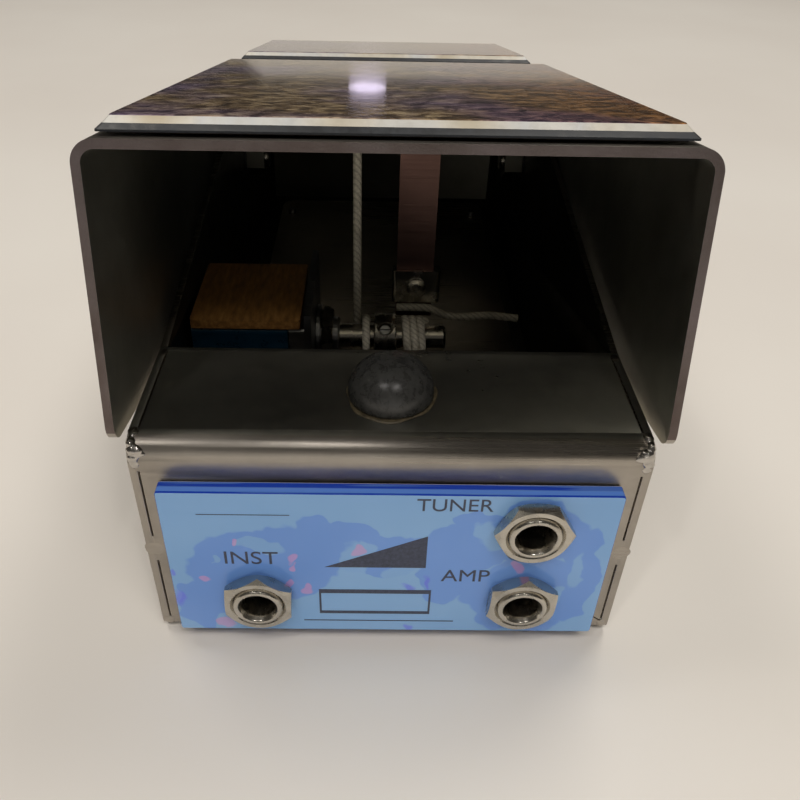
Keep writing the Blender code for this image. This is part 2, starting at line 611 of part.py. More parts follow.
def hinge_hardware(side, name, hinge, base, steel, nylon):
    """Bolt and lock nut that turn with the treadle, and the bush pressed in the base wall."""
    head = TREADLE_OUTER + GAP
    inside = HALF_BASE - SHEET - GAP
    bolt = [(0, head + 2.0), (3.6, head + 2.0), (5.2, head + 1.0), (5.2, head), (3.0, head), (3.0, 37.6),
            (2.5, 37.1), (0, 37.1)]
    paint(turned("hinge_bolt_" + name, [(r, side * a) for r, a in bolt], "X", (0, 0, 0), hinge), steel)
    bush = [(3.3, inside), (4.7, inside), (4.7, HALF_BASE + GAP), (7.0, HALF_BASE + GAP),
            (7.0, TREADLE_INNER - GAP), (3.3, TREADLE_INNER - GAP)]
    bushed = turned("hinge_bush_" + name, [(r, side * a) for r, a in bush], "X", (0, HINGE_Y, HINGE_Z), base)
    paint(bushed, nylon)
    low, high = sorted((side * (inside - GAP - 5.5), side * (inside - GAP)))
    nut = prism("hinge_nut_" + name, hexagon((0, 0), 10.0, 0.3), "X", low, high, hinge)
    cut_rods(nut, "hinge_nut_bore_" + name, [(0, 0)], "X", 3.3, low - 1, high + 1, hinge)
    paint(nut, steel)


# --- wiring ---------------------------------------------------------------------------------
def wires(frame, colours):
    """Insulated wires from the jack contacts to the lugs of the potentiometer."""
    left_x, left_z = JACKS["input_jack"]
    tuner_x, tuner_z = JACKS["tuner_jack"]
    out_x, out_z = JACKS["output_jack"]
    lug_end, lug_z = POT_Y[0] - 7.8, POT_LUG_Z + 0.3
    routes = {
        "input_wire": [(left_x + 3.2, 30.0, left_z), (left_x + 1, 33, 16), (-34, 33, 21),
                       (POT_LUGS[0], lug_end, lug_z)],
        "output_wire": [(out_x + 3.2, 30.0, out_z), (out_x + 1, 36, 13), (14, 40, 11), (-8, 40, 11),
                        (-27, 37, 16), (POT_LUGS[1], lug_end, lug_z)],
        "tuner_wire": [(tuner_x + 3.2, 30.0, tuner_z), (tuner_x, 35, 31), (10, 38, 23), (-8, 36, 18),
                       (left_x + 7.5, 33.5, 15.5), (left_x + 6.0, 31.5, 14.5)],
        "ground_wire": [(out_x + 8.0, 23.6, out_z - 2), (out_x + 7, 31, 9), (16, 44, 8), (-6, 45, 8),
                        (-20, 39.5, 14), (POT_LUGS[2] + 0.4, lug_end, lug_z)],
    }
    for name, points in routes.items():
        paint(tube(name, points, 0.65, frame, 3.0), colours[name])


# --- assembly -------------------------------------------------------------------------------
def main():
    clear_scene()
    stainless = material("stainless_steel", (0.42, 0.38, 0.33), 0.35, 1.0)
    plated = material("nickel_plating", (0.55, 0.53, 0.48), 0.3, 1.0)
    zinc = material("zinc_plating", (0.45, 0.45, 0.46), 0.4, 1.0)
    acrylic = material("blue_acrylic", (0.16, 0.36, 0.75), 0.12)
    rubber = material("black_rubber", (0.02, 0.02, 0.02), 0.6)
    laminate = material("burl_laminate", (0.12, 0.07, 0.045), 0.15)
    adhesive = material("brown_adhesive", (0.05, 0.035, 0.025), 0.8)
    blue_plastic = material("blue_plastic", (0.02, 0.05, 0.13), 0.4)
    phenolic = material("phenolic_board", (0.22, 0.09, 0.035), 0.5)
    brass = material("tinned_brass", (0.6, 0.55, 0.42), 0.35, 1.0)
    cord_white = material("braided_cord", (0.62, 0.58, 0.5), 0.8)
    nylon = material("black_nylon", (0.04, 0.04, 0.04), 0.5)
    wire_colours = {"input_wire": material("white_insulation", (0.7, 0.7, 0.68), 0.45),
                    "output_wire": material("red_insulation", (0.5, 0.03, 0.03), 0.45),
                    "tuner_wire": material("yellow_insulation", (0.6, 0.45, 0.05), 0.45),
                    "ground_wire": material("black_insulation", (0.02, 0.02, 0.02), 0.45)}

    root = empty("pedal", (0, -CENTRE_Y, 0))
    hinge = empty("treadle_hinge", (0, HINGE_Y, HINGE_Z), root)
    slope = empty("treadle_slope", (0, TREADLE_FRONT_Y - HINGE_Y, TREADLE_FRONT_Z - HINGE_Z), hinge, -TREADLE_SLOPE)
    axle = empty("shaft_axis", (0, SHAFT_Y, SHAFT_Z), root)
    from_hinge = (0, -HINGE_Y, -HINGE_Z)

    base_shell(root, stainless)
    bottom_cover(root, stainless)
    cover_screws(root, zinc)
    rubber_sole(root, rubber)
    bumper("toe_bumper", TOE_BUMPER_Y, BASE_HEIGHT, root, rubber)
    bumper("heel_bumper", HEEL_BUMPER_Y, BASE_REAR_HEIGHT, root, rubber)
    jack_panel(root, acrylic)
    for (name, centre), turn in zip(JACKS.items(), NUT_TURNS):
        jack(name, centre, root, plated, phenolic, brass)
        jack_nut(name + "_nut", centre, turn, root, plated)
    pot_bracket(root, zinc)
    potentiometer(root, blue_plastic, phenolic, zinc, brass)
    drum(axle, plated, zinc, cord_white)
    treadle_channel(slope, stainless)
    tread_plate("toe_plate", TOE_PLATE, slope, laminate, adhesive)
    tread_plate("heel_plate", HEEL_PLATE, slope, laminate, adhesive)
    treadle_studs(slope, zinc)
    strap(hinge, from_hinge, slope, stainless)
    strap_clip(hinge, from_hinge, plated)
    drive_cord(hinge, from_hinge, cord_white)
    for side, name in ((-1, "left"), (1, "right")):
        hinge_hardware(side, name, hinge, root, zinc, nylon)
    wires(root, wire_colours)


main()
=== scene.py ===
"""Looks of the volume pedal: finer shells, laminate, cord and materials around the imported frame.

Lengths are in millimetres in the pedal's own frame (x across, y back from the front face of the
base, z up from the floor) until a mesh is finished, which puts it in the row frame in metres.
"""
import json
from math import atan2, ceil, cos, pi, radians, sin, tan

import bmesh
import bpy
from mathutils import Matrix, Vector


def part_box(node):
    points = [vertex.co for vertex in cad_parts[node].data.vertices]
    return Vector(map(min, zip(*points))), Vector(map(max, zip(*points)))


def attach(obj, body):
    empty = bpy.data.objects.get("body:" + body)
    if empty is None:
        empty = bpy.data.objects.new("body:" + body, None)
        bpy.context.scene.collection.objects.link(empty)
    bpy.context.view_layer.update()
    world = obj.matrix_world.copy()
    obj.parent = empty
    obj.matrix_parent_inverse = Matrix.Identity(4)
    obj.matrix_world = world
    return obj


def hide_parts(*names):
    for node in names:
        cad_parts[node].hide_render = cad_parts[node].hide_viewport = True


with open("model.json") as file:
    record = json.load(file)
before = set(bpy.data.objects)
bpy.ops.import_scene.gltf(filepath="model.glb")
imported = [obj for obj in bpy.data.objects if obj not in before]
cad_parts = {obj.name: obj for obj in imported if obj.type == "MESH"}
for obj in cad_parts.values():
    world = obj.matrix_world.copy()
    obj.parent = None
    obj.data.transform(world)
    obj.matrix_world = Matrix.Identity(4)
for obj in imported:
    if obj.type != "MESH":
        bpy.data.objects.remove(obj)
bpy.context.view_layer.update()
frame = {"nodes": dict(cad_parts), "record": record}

MM = 0.001
GAP = 0.3


# --- places read from the frame ---
def node_box(node):
    """A node's corners in millimetres, in the pedal's own frame."""
    low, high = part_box(node)
    return ([value / MM - shift for value, shift in zip(low, (0, FRONT, 0))],
            [value / MM - shift for value, shift in zip(high, (0, FRONT, 0))])


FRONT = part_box("base_shell")[0][1] / MM
JOINTS = {joint["name"]: joint for joint in frame["record"]["behaviour"]["joints"]}


def joint_place(name):
    return [value / MM - shift for value, shift in zip(JOINTS[name]["pos_m"], (0, FRONT, 0))]


_, HINGE_Y, HINGE_Z = joint_place("treadle_hinge")
_, SHAFT_Y, SHAFT_Z = joint_place("drum_spin")
(_, _, BASE_BOTTOM), (HALF_BASE, BASE_LENGTH, BASE_TOP) = node_box("base_shell")
SHEET = 1.5
BASE_HEIGHT = 50.0
REAR_HEIGHT = 52.3
MIDDLE_HEIGHT = BASE_TOP + 1.0
FRONT_LIP = 30.0
REAR_LIP = 17.0
BEND = 4.5

SLOPE = radians(10.2)
TREADLE_OUTER = node_box("treadle")[1][0]
TREADLE_INNER = TREADLE_OUTER - SHEET
TREADLE_FRONT_Y = 12.0
TREADLE_FRONT_Z = 98.2
TREADLE_LENGTH = 224.5
TREADLE_DEPTH = 49.7
TIP_LEAN = 3.3
PLATE_HALF_WIDTH = 45.35
PLATE_BOTTOM = 0.6
PLATE_SPANS = {"toe_plate": (2.3, 121.0), "heel_plate": (150.5, 223.6)}

THREAD_HOLE = 5.05
NUT_BORE = 4.9
NUT_ACROSS = 12.7
SHAFT_RADIUS = 3.175
COLLAR_BORE = 3.48
COLLAR_RADIUS = 5.8
CORD_RADIUS = 0.95

TO_ROW = Matrix.Translation((0, FRONT * MM, 0)) @ Matrix.Scale(MM, 4)
TREADLE_FRAME = Matrix.Translation((0, TREADLE_FRONT_Y, TREADLE_FRONT_Z)) @ Matrix.Rotation(-SLOPE, 4, "X")
SHAFT_FRAME = Matrix.Translation((0, SHAFT_Y, SHAFT_Z))
HINGE_FRAME = Matrix.Translation((0, HINGE_Y, HINGE_Z))
PEDAL_FRAME = Matrix.Identity(4)


# --- outlines and meshes ---
def box_outline(a0, a1, b0, b1):
    return [(a0, b0), (a1, b0), (a1, b1), (a0, b1)]


def rounded(points, radii, steps=10):
    """An outline whose corners are arcs; a radius of 0 leaves the corner sharp."""
    outline = []
    count = len(points)
    for index, radius in enumerate(radii):
        here = Vector(points[index])
        if radius == 0:
            outline.append(tuple(here))
            continue
        back = (Vector(points[index - 1]) - here).normalized()
        ahead = (Vector(points[(index + 1) % count]) - here).normalized()
        half = back.angle(ahead) / 2
        start = here + back * radius / tan(half)
        end = here + ahead * radius / tan(half)
        centre = here + (back + ahead).normalized() * (radius / sin(half))
        first = atan2(start.y - centre.y, start.x - centre.x)
        sweep = atan2(end.y - centre.y, end.x - centre.x) - first
        sweep = (sweep + pi) % (2 * pi) - pi
        for step in range(steps + 1):
            angle = first + sweep * step / steps
            outline.append((centre.x + radius * cos(angle), centre.y + radius * sin(angle)))
    return outline


def circle_outline(centre, radius, sides=64):
    return [(centre[0] + radius * cos(2 * pi * side / sides), centre[1] + radius * sin(2 * pi * side / sides))
            for side in range(sides)]


AXES = {"X": Matrix(((0, 0, 1), (1, 0, 0), (0, 1, 0))),
        "Y": Matrix(((1, 0, 0), (0, 0, -1), (0, 1, 0))),
        "Z": Matrix.Identity(3)}
TURNS = {"X": Matrix.Rotation(pi / 2, 4, "Y"), "Y": Matrix.Rotation(-pi / 2, 4, "X"), "Z": Matrix.Identity(4)}


def prism_bmesh(outline, axis, low, high):
    """A flat outline pushed from low to high; its numbers are (y, z), (x, z) or (x, y) for X, Y, Z."""
    bm = bmesh.new()
    sign = -1 if axis == "Y" else 1
    turn = AXES[axis]
    face = bm.faces.new([bm.verts.new(turn @ Vector((a, b, sign * low))) for a, b in outline])
    push = turn @ Vector((0, 0, sign * (high - low)))
    made = bmesh.ops.extrude_face_region(bm, geom=[face])
    bmesh.ops.translate(bm, vec=push, verts=[v for v in made["geom"] if isinstance(v, bmesh.types.BMVert)])
    return bm


def turned_bmesh(profile, axis, centre, sides):
    """A profile of (radius, along) spun about an axis; it closes on itself where it keeps off the axis."""
    bm = bmesh.new()
    rings = []
    for radius, along in profile:
        points = [(0, 0)] if radius == 0 else circle_outline((0, 0), radius, sides)
        rings.append([bm.verts.new((x, y, along)) for x, y in points])
    count = len(rings)
    closed = all(radius > 0 for radius, _ in profile)
    for index in range(count if closed else count - 1):
        lower, upper = rings[index], rings[(index + 1) % count]
        for side in range(sides):
            after = (side + 1) % sides
            corners = dict.fromkeys([lower[side % len(lower)], lower[after % len(lower)],
                                     upper[after % len(upper)], upper[side % len(upper)]])
            if len(corners) > 2:
                bm.faces.new(list(corners))
    bmesh.ops.transform(bm, matrix=Matrix.Translation(centre) @ TURNS[axis], verts=bm.verts)
    return bm


def bridge(bm, rings):
    """Closes a solid round rings of vertices that all have the same count."""
    for lower, upper in zip(rings, rings[1:]):
        for index in range(len(lower)):
            after = (index + 1) % len(lower)
            bm.faces.new((lower[index], lower[after], upper[after], upper[index]))
    for ring in (rings[0], rings[-1]):
        bm.faces.new(ring)


def finish_mesh(name, bm, place=PEDAL_FRAME, smooth=35):
    bmesh.ops.recalc_face_normals(bm, faces=bm.faces)
    bmesh.ops.transform(bm, matrix=TO_ROW @ place, verts=bm.verts)
    mesh = bpy.data.meshes.new(name)
    bm.to_mesh(mesh)
    bm.free()
    mesh.shade_smooth()
    mesh.set_sharp_from_angle(angle=radians(smooth))
    made = bpy.data.objects.new(name, mesh)
    bpy.context.scene.collection.objects.link(made)
    return made


def prism(name, outline, axis, low, high, place=PEDAL_FRAME):
    return finish_mesh(name, prism_bmesh(outline, axis, low, high), place)


def turned(name, profile, axis, centre, sides, place=PEDAL_FRAME, smooth=35):
    return finish_mesh(name, turned_bmesh(profile, axis, centre, sides), place, smooth)


def apply_modifiers(thing, smooth=35):
    """Replaces an object's mesh with what its modifiers make of it."""
    graph = bpy.context.evaluated_depsgraph_get()
    made = bpy.data.meshes.new_from_object(thing.evaluated_get(graph))
    thing.modifiers.clear()
    thing.data = made
    made.shade_smooth()
    made.set_sharp_from_angle(angle=radians(smooth))


def boolean(target, tools, operation="DIFFERENCE"):
    for tool in tools:
        modifier = target.modifiers.new("cut", "BOOLEAN")
        modifier.operation = operation
        modifier.solver = "EXACT"
        modifier.object = tool
    apply_modifiers(target)
    for tool in tools:
        bpy.data.objects.remove(tool)


def soften_edges(target, width, segments=2, angle=35):
    modifier = target.modifiers.new("edges", "BEVEL")
    modifier.width = width * MM
    modifier.segments = segments
    modifier.limit_method = "ANGLE"
    modifier.angle_limit = radians(angle)
    modifier.harden_normals = segments > 1
    modifier.use_clamp_overlap = True
    apply_modifiers(target)


def fit_in(piece, body, slot, paints, *nodes):
    for made in paints:
        piece.data.materials.append(made)
    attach(piece, body)
    if nodes:
        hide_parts(*nodes)
    return piece


# --- materials ---
def fill_ramp(elements, stops):
    while len(elements) < len(stops):
        elements.new(0.5)
    for element, (place, colour) in zip(elements, stops):
        element.position = place
        element.color = (*colour, 1)


class Paint:
    """A Principled material and the nodes that feed it, all in object coordinates (metres)."""

    def __init__(self, name, colour, roughness, metallic=0.0, **sockets):
        self.material = bpy.data.materials.new(name)
        self.material.use_nodes = True
        self.material.diffuse_color = (*colour, 1)
        self.tree = self.material.node_tree
        self.shader = self.tree.nodes["Principled BSDF"]
        self.shader.inputs["Base Color"].default_value = (*colour, 1)
        self.shader.inputs["Roughness"].default_value = roughness
        self.shader.inputs["Metallic"].default_value = metallic
        for socket, value in sockets.items():
            self.shader.inputs[socket.replace("_", " ")].default_value = value
        self.coordinates = self.tree.nodes.new("ShaderNodeTexCoord").outputs["Object"]

    def feed(self, socket, value):
        if isinstance(value, bpy.types.NodeSocket):
            self.tree.links.new(value, socket)
        else:
            socket.default_value = value

    def node(self, kind, inputs=(), **settings):
        made = self.tree.nodes.new(kind)
        for key, value in settings.items():
            setattr(made, key, value)
        for socket, value in dict(inputs).items():
            self.feed(made.inputs[socket], value)
        return made

    def mapping(self, scale=(1, 1, 1), shift=(0, 0, 0)):
        return self.node("ShaderNodeMapping", {"Vector": self.coordinates, "Scale": scale,
                                               "Location": shift}).outputs["Vector"]

    def noise(self, scale, detail=4.0, rough=0.55, vector=None, distortion=0.0):
        vector = vector or self.coordinates
        return self.node("ShaderNodeTexNoise", {"Vector": vector, "Scale": scale, "Detail": detail,
                                                "Roughness": rough, "Distortion": distortion}).outputs["Fac"]

    def wave(self, scale, distortion, direction):
        return self.node("ShaderNodeTexWave", {"Vector": self.coordinates, "Scale": scale,
                                               "Distortion": distortion},
                         bands_direction=direction).outputs["Fac"]

    def ramp(self, value, stops):
        made = self.node("ShaderNodeValToRGB", {"Fac": value})
        fill_ramp(made.color_ramp.elements, stops)
        return made.outputs["Color"]

    def vectors(self, operation, a, b):
        return self.node("ShaderNodeVectorMath", {0: a, 1: b}, operation=operation).outputs["Vector"]

    def span(self, value, low=0.3, high=0.7, to_low=0.0, to_high=1.0):
        return self.node("ShaderNodeMapRange", {"Value": value, "From Min": low, "From Max": high,
                                                "To Min": to_low, "To Max": to_high}).outputs["Result"]

    def maths(self, operation, a, b=0.0):
        made = self.node("ShaderNodeMath", operation=operation)
        for socket, value in zip(made.inputs, (a, b)):
            self.feed(socket, value)
        return made.outputs[0]

    def mix(self, fac, a, b, blend="MIX"):
        made = self.node("ShaderNodeMix", data_type="RGBA", blend_type=blend)
        for index, value in ((0, fac), (6, a), (7, b)):
            self.feed(made.inputs[index], (*value, 1) if isinstance(value, tuple) else value)
        return made.outputs[2]

    def axis(self, letter):
        return self.node("ShaderNodeSeparateXYZ", {"Vector": self.coordinates}).outputs[letter]

    def colour(self, socket):
        self.tree.links.new(socket, self.shader.inputs["Base Color"])

    def roughness(self, socket):
        self.tree.links.new(socket, self.shader.inputs["Roughness"])

    def bump(self, height, strength, distance):
        made = self.node("ShaderNodeBump", {"Height": height, "Strength": strength, "Distance": distance})
        self.tree.links.new(made.outputs["Normal"], self.shader.inputs["Normal"])


def scaled(colour, factor):
    return tuple(min(1.0, value * factor) for value in colour)


def steel(name, colour, grain=(40, 2600, 2600), smooth=0.21, worn=0.35, metallic=1.0):
    """Satin stainless sheet: fine drawn grain, cloudy handling marks and faint scratches."""
    paint = Paint(name, colour, smooth, metallic)
    lines = paint.noise(1.0, 3.0, 0.6, paint.mapping(grain))
    clouds = paint.noise(38.0, 5.0, 0.6)
    smudges = paint.noise(9.0, 3.0, 0.5, paint.mapping(shift=(0.3, 0.1, 0.7)))
    tone = paint.mix(paint.span(clouds, 0.35, 0.7), scaled(colour, 0.72), scaled(colour, 1.12))
    paint.colour(paint.mix(paint.span(lines, 0.3, 0.7, 0.0, 0.35), tone, colour))
    paint.roughness(paint.maths("ADD", paint.span(smudges, 0.35, 0.65, smooth, worn),
                                paint.span(lines, 0.3, 0.7, -0.05, 0.05)))
    paint.bump(lines, 0.12, 0.0002)
    return paint.material


def cut_edge(name, colour):
    """Sheared sheet edge: fine striations across the thickness and a faint heat tint."""
    paint = Paint(name, colour, 0.38, 1.0)
    lines = paint.noise(1.0, 2.0, 0.6, paint.mapping((2600, 160, 2600)))
    tint = paint.noise(45.0, 3.0, 0.6)
    paint.colour(paint.ramp(tint, [(0.3, (0.115, 0.085, 0.075)), (0.52, colour),
                                   (0.75, (0.23, 0.19, 0.195))]))
    paint.roughness(paint.span(lines, 0.3, 0.7, 0.28, 0.5))
    paint.bump(lines, 0.25, 0.0002)
    return paint.material


def plating(name, colour, smooth=0.16, dull=0.34):
    """Nickel plate with tool rings and slight tarnish."""
    paint = Paint(name, colour, smooth, 1.0)
    tarnish = paint.noise(260.0, 4.0, 0.6)
    specks = paint.noise(1500.0, 3.0, 0.6)
    paint.colour(paint.mix(paint.span(tarnish, 0.4, 0.7), colour, scaled(colour, 0.78)))
    paint.roughness(paint.span(tarnish, 0.3, 0.7, smooth, dull))
    paint.bump(specks, 0.08, 0.0001)
    return paint.material


def rubber(name):
    paint = Paint(name, (0.022, 0.022, 0.024), 0.32)
    dust = paint.noise(700.0, 5.0, 0.7)
    grain = paint.noise(2600.0, 4.0, 0.6)
    paint.colour(paint.ramp(dust, [(0.35, (0.017, 0.017, 0.016)), (0.62, (0.036, 0.036, 0.034)),
                                   (0.8, (0.06, 0.058, 0.055))]))
    paint.roughness(paint.span(dust, 0.3, 0.7, 0.25, 0.31))
    paint.bump(grain, 0.12, 0.0002)
    return paint.material


def burl_laminate(name):
    """Glossy tortoise-like burl: dark brown with gold and violet fibre streaks that run across."""
    paint = Paint(name, (0.20, 0.14, 0.09), 0.09, 0.0, Coat_Weight=0.3, Coat_Roughness=0.04)
    warp = paint.noise(60.0, 3.0, 0.6)
    shifted = paint.vectors("ADD", paint.mapping((250, 330, 330)), warp)
    fibres = paint.noise(1.0, 7.0, 0.68, shifted, 0.6)
    fine = paint.noise(1.0, 5.0, 0.7, paint.mapping((800, 1100, 1100)))
    zones = paint.noise(34.0, 3.0, 0.55)
    brown = paint.ramp(fibres, [(0.30, (0.018, 0.012, 0.010)), (0.42, (0.070, 0.045, 0.028)),
                                (0.50, (0.19, 0.13, 0.075)), (0.58, (0.42, 0.31, 0.18)),
                                (0.70, (0.66, 0.53, 0.33))])
    violet = paint.ramp(fibres, [(0.30, (0.014, 0.010, 0.020)), (0.44, (0.065, 0.045, 0.090)),
                                 (0.55, (0.22, 0.16, 0.24)), (0.70, (0.50, 0.42, 0.46))])
    tone = paint.mix(paint.span(zones, 0.45, 0.62), brown, violet)
    orange_side = paint.span(paint.axis("X"), 0.005, 0.045)
    warm = paint.mix(paint.maths("MULTIPLY", orange_side, 0.8), tone, (1.0, 0.62, 0.32), "MULTIPLY")
    warmer = paint.mix(paint.maths("MULTIPLY", orange_side, paint.span(fibres, 0.45, 0.7, 0.0, 0.6)), warm,
                       (0.52, 0.20, 0.05))
    paint.colour(paint.mix(paint.span(fine, 0.45, 0.7, 0.0, 0.5), warmer, (0.012, 0.007, 0.006)))
    paint.roughness(paint.span(fine, 0.3, 0.7, 0.06, 0.13))
    return paint.material


def pearl_ply(name):
    """Pearl white middle ply, with patches of cream and cool grey along its length."""
    paint = Paint(name, (0.62, 0.60, 0.54), 0.28)
    patches = paint.noise(75.0, 2.0, 0.4, paint.mapping((1, 0.25, 0.25)))
    fine = paint.noise(600.0, 3.0, 0.6)
    tone = paint.ramp(patches, [(0.3, (0.50, 0.43, 0.30)), (0.48, (0.66, 0.63, 0.55)),
                                (0.60, (0.60, 0.61, 0.60)), (0.75, (0.72, 0.70, 0.63))])
    paint.colour(paint.mix(paint.span(fine, 0.45, 0.7, 0.0, 0.25), tone, (0.38, 0.36, 0.31)))
    return paint.material


def black_ply(name):
    paint = Paint(name, (0.016, 0.018, 0.022), 0.25)
    scuffs = paint.noise(500.0, 4.0, 0.6)
    paint.colour(paint.ramp(scuffs, [(0.4, (0.009, 0.011, 0.014)), (0.7, (0.024, 0.028, 0.035))]))
    paint.roughness(paint.span(scuffs, 0.3, 0.7, 0.35, 0.55))
    return paint.material


def adhesive_sheet(name):
    paint = Paint(name, (0.035, 0.024, 0.016), 0.7)
    crumbs = paint.noise(900.0, 5.0, 0.7)
    paint.colour(paint.ramp(crumbs, [(0.35, (0.012, 0.008, 0.006)), (0.6, (0.05, 0.033, 0.02)),
                                     (0.75, (0.13, 0.09, 0.05))]))
    paint.bump(crumbs, 0.5, 0.0003)
    return paint.material


WET_PATCHES = ((-27.0, 21.0, 11.0, 11.5), (-19.0, 24.0, 10.0, 10.5), (-12.0, 31.5, 9.0, 4.2),
               (-6.5, 33.0, 4.0, 3.4), (-1.0, 26.0, 9.5, 5.5), (14.0, 28.5, 9.0, 6.5), (26.5, 32.5, 8.8, 8.6),
               (27.0, 15.0, 11.5, 11.0), (36.0, 20.0, 4.2, 13.0), (12.0, 20.0, 6.0, 7.0),
               (-36.5, 12.0, 4.0, 8.0), (17.0, 35.5, 5.0, 2.6))
DRY_PATCHES = ((-24.0, 28.8, 4.6, 1.5), (-6.8, 23.5, 2.0, 5.2), (-4.6, 27.5, 1.9, 2.2), (2.8, 21.5, 3.6, 2.6),
               (18.2, 31.8, 1.9, 4.0), (35.6, 22.5, 1.5, 4.6), (33.6, 15.0, 1.2, 3.4),
               (-33.2, 23.6, 0.9, 0.9))
PINK_SPECKS = ((-28.3, 29.0, 0.7, 0.9), (-18.3, 25.6, 1.2, 1.5), (-18.0, 23.0, 0.8, 0.8),
               (-14.6, 17.2, 1.0, 1.7), (-35.0, 20.6, 0.9, 0.7), (-32.2, 6.6, 1.4, 1.6),
               (-6.0, 27.2, 1.3, 0.9), (24.8, 22.8, 1.6, 1.7), (-19.2, 18.4, 0.8, 1.2))
VIOLET_SPECKS = ((-40.2, 14.0, 1.0, 2.2), (4.9, 5.8, 1.1, 0.9), (3.0, 17.2, 1.3, 0.9), (8.0, 18.0, 0.6, 1.6),
                 (27.4, 5.4, 0.9, 0.8), (-41.0, 22.0, 0.6, 1.0))


def patches(paint, places, warped, soft):
    """A mask that is 1 inside any of the ellipses given by centre and half-widths in x and z."""
    nearest = None
    for x, z, half_x, half_z in places:
        offset = paint.vectors("SUBTRACT", warped, (x * MM, 0, z * MM))
        part = paint.vectors("MULTIPLY", offset, (1 / half_x / MM, 0, 1 / half_z / MM))
        length = paint.node("ShaderNodeVectorMath", {0: part}, operation="LENGTH").outputs["Value"]
        nearest = length if nearest is None else paint.maths("MINIMUM", nearest, length)
    return paint.span(nearest, 1.0 + soft, 1.0 - soft)


def panel_film(name):
    """Blue backing seen through clear acrylic, with darker patches where it has wetted out, and specks."""
    paint = Paint(name, (0.25, 0.45, 0.70), 0.07)
    wobble = paint.node("ShaderNodeTexNoise", {"Vector": paint.coordinates, "Scale": 170.0, "Detail": 2.0,
                                               "Roughness": 0.45}).outputs["Color"]
    centred = paint.vectors("SUBTRACT", wobble, (0.5, 0.5, 0.5))
    shift = paint.vectors("MULTIPLY", centred, (0.0075, 0.0075, 0.0075))
    warped = paint.vectors("ADD", paint.coordinates, shift)
    wet = paint.maths("MULTIPLY", patches(paint, WET_PATCHES, warped, 0.03),
                      paint.span(patches(paint, DRY_PATCHES, warped, 0.10), 0.0, 1.0, 1.0, 0.15))
    slow = paint.noise(28.0, 2.0, 0.5)
    dry_tone = paint.mix(paint.span(slow, 0.35, 0.65), (0.22, 0.43, 0.76), (0.27, 0.49, 0.82))
    wet_tone = paint.mix(paint.span(slow, 0.35, 0.65), (0.15, 0.32, 0.76), (0.19, 0.37, 0.82))
    tone = paint.mix(wet, dry_tone, wet_tone)
    pink = patches(paint, PINK_SPECKS, warped, 0.15)
    tone = paint.mix(paint.maths("MULTIPLY", pink, 0.55), tone, (0.70, 0.33, 0.62))
    violet = patches(paint, VIOLET_SPECKS, warped, 0.3)
    tone = paint.mix(paint.maths("MULTIPLY", violet, 0.6), tone, (0.16, 0.17, 0.90))
    paint.colour(tone)
    return paint.material


def panel_edge(name, front, back):
    """Polished acrylic edge: deep blue behind the face, a paler band, then deep blue and a bright grey-violet
    rim at the back, which is a painted reflection.
    """
    paint = Paint(name, (0.02, 0.08, 0.45), 0.08, 0.0)
    depth = paint.span(paint.axis("Y"), (FRONT + front) * MM, (FRONT + back) * MM)
    # The rim colour at the back of the edge is a painted reflection of the room, not the acrylic's own
    # colour.
    deep, pale, rim = (0.010, 0.050, 0.42), (0.10, 0.24, 0.70), (0.45, 0.45, 0.50)
    tone = paint.ramp(depth, [(0.10, deep), (0.16, pale), (0.48, pale), (0.56, deep), (0.90, deep),
                              (0.95, rim)])
    streaks = paint.noise(1.0, 2.0, 0.5, paint.mapping((45, 1500, 1500)))
    paint.colour(paint.mix(paint.span(streaks, 0.52, 0.62, 0.0, 0.45), tone, (0.13, 0.27, 0.60)))
    return paint.material


def plain(name, colour, roughness, scale=400.0, spread=0.25, bump=0.1):
    """A moulded or coated surface with slight mottling and a fine grain."""
    paint = Paint(name, colour, roughness)
    mottle = paint.noise(scale, 4.0, 0.6)
    paint.colour(paint.mix(paint.span(mottle), scaled(colour, 1 - spread), scaled(colour, 1 + spread)))
    paint.roughness(paint.span(mottle, 0.3, 0.7, roughness * 0.8, min(1.0, roughness * 1.25)))
    paint.bump(mottle, bump, 0.0002)
    return paint.material


def phenolic(name):
    paint = Paint(name, (0.22, 0.085, 0.030), 0.4)
    fibres = paint.noise(1.0, 4.0, 0.6, paint.mapping((900, 200, 900)))
    paint.colour(paint.ramp(fibres, [(0.3, (0.12, 0.056, 0.015)), (0.55, (0.25, 0.120, 0.034)),
                                     (0.75, (0.37, 0.20, 0.065))]))
    paint.bump(fibres, 0.15, 0.0002)
    return paint.material


def cord_fibre(name):
    paint = Paint(name, (0.55, 0.52, 0.45), 0.85)
    fuzz = paint.noise(2400.0, 4.0, 0.7)
    dirt = paint.noise(180.0, 3.0, 0.6)
    tone = paint.mix(paint.span(fuzz), (0.50, 0.46, 0.37), (0.80, 0.75, 0.63))
    braid = paint.wave(400.0, 1.5, "DIAGONAL")
    # The braid's low bands, the same ones the bump sinks, are darkened towards (0.20, 0.17, 0.13): painted
    # shade in the weave's grooves.
    groove_shaded_weave = paint.mix(paint.span(braid, 0.0, 0.5, 0.45, 0.0), tone, (0.20, 0.17, 0.13))
    paint.colour(paint.mix(paint.span(dirt, 0.5, 0.7, 0.0, 0.5), groove_shaded_weave, (0.22, 0.19, 0.15)))
    paint.bump(paint.maths("ADD", fuzz, braid), 0.4, 0.0002)
    return paint.material


def floor_paper(name):
    paint = Paint(name, (0.80, 0.765, 0.71), 0.75)
    soft = paint.noise(6.0, 3.0, 0.5)
    fine = paint.noise(220.0, 4.0, 0.6)
    paint.colour(paint.mix(paint.span(soft), (0.78, 0.74, 0.685), (0.83, 0.80, 0.745)))
    paint.bump(fine, 0.05, 0.0004)
    return paint.material


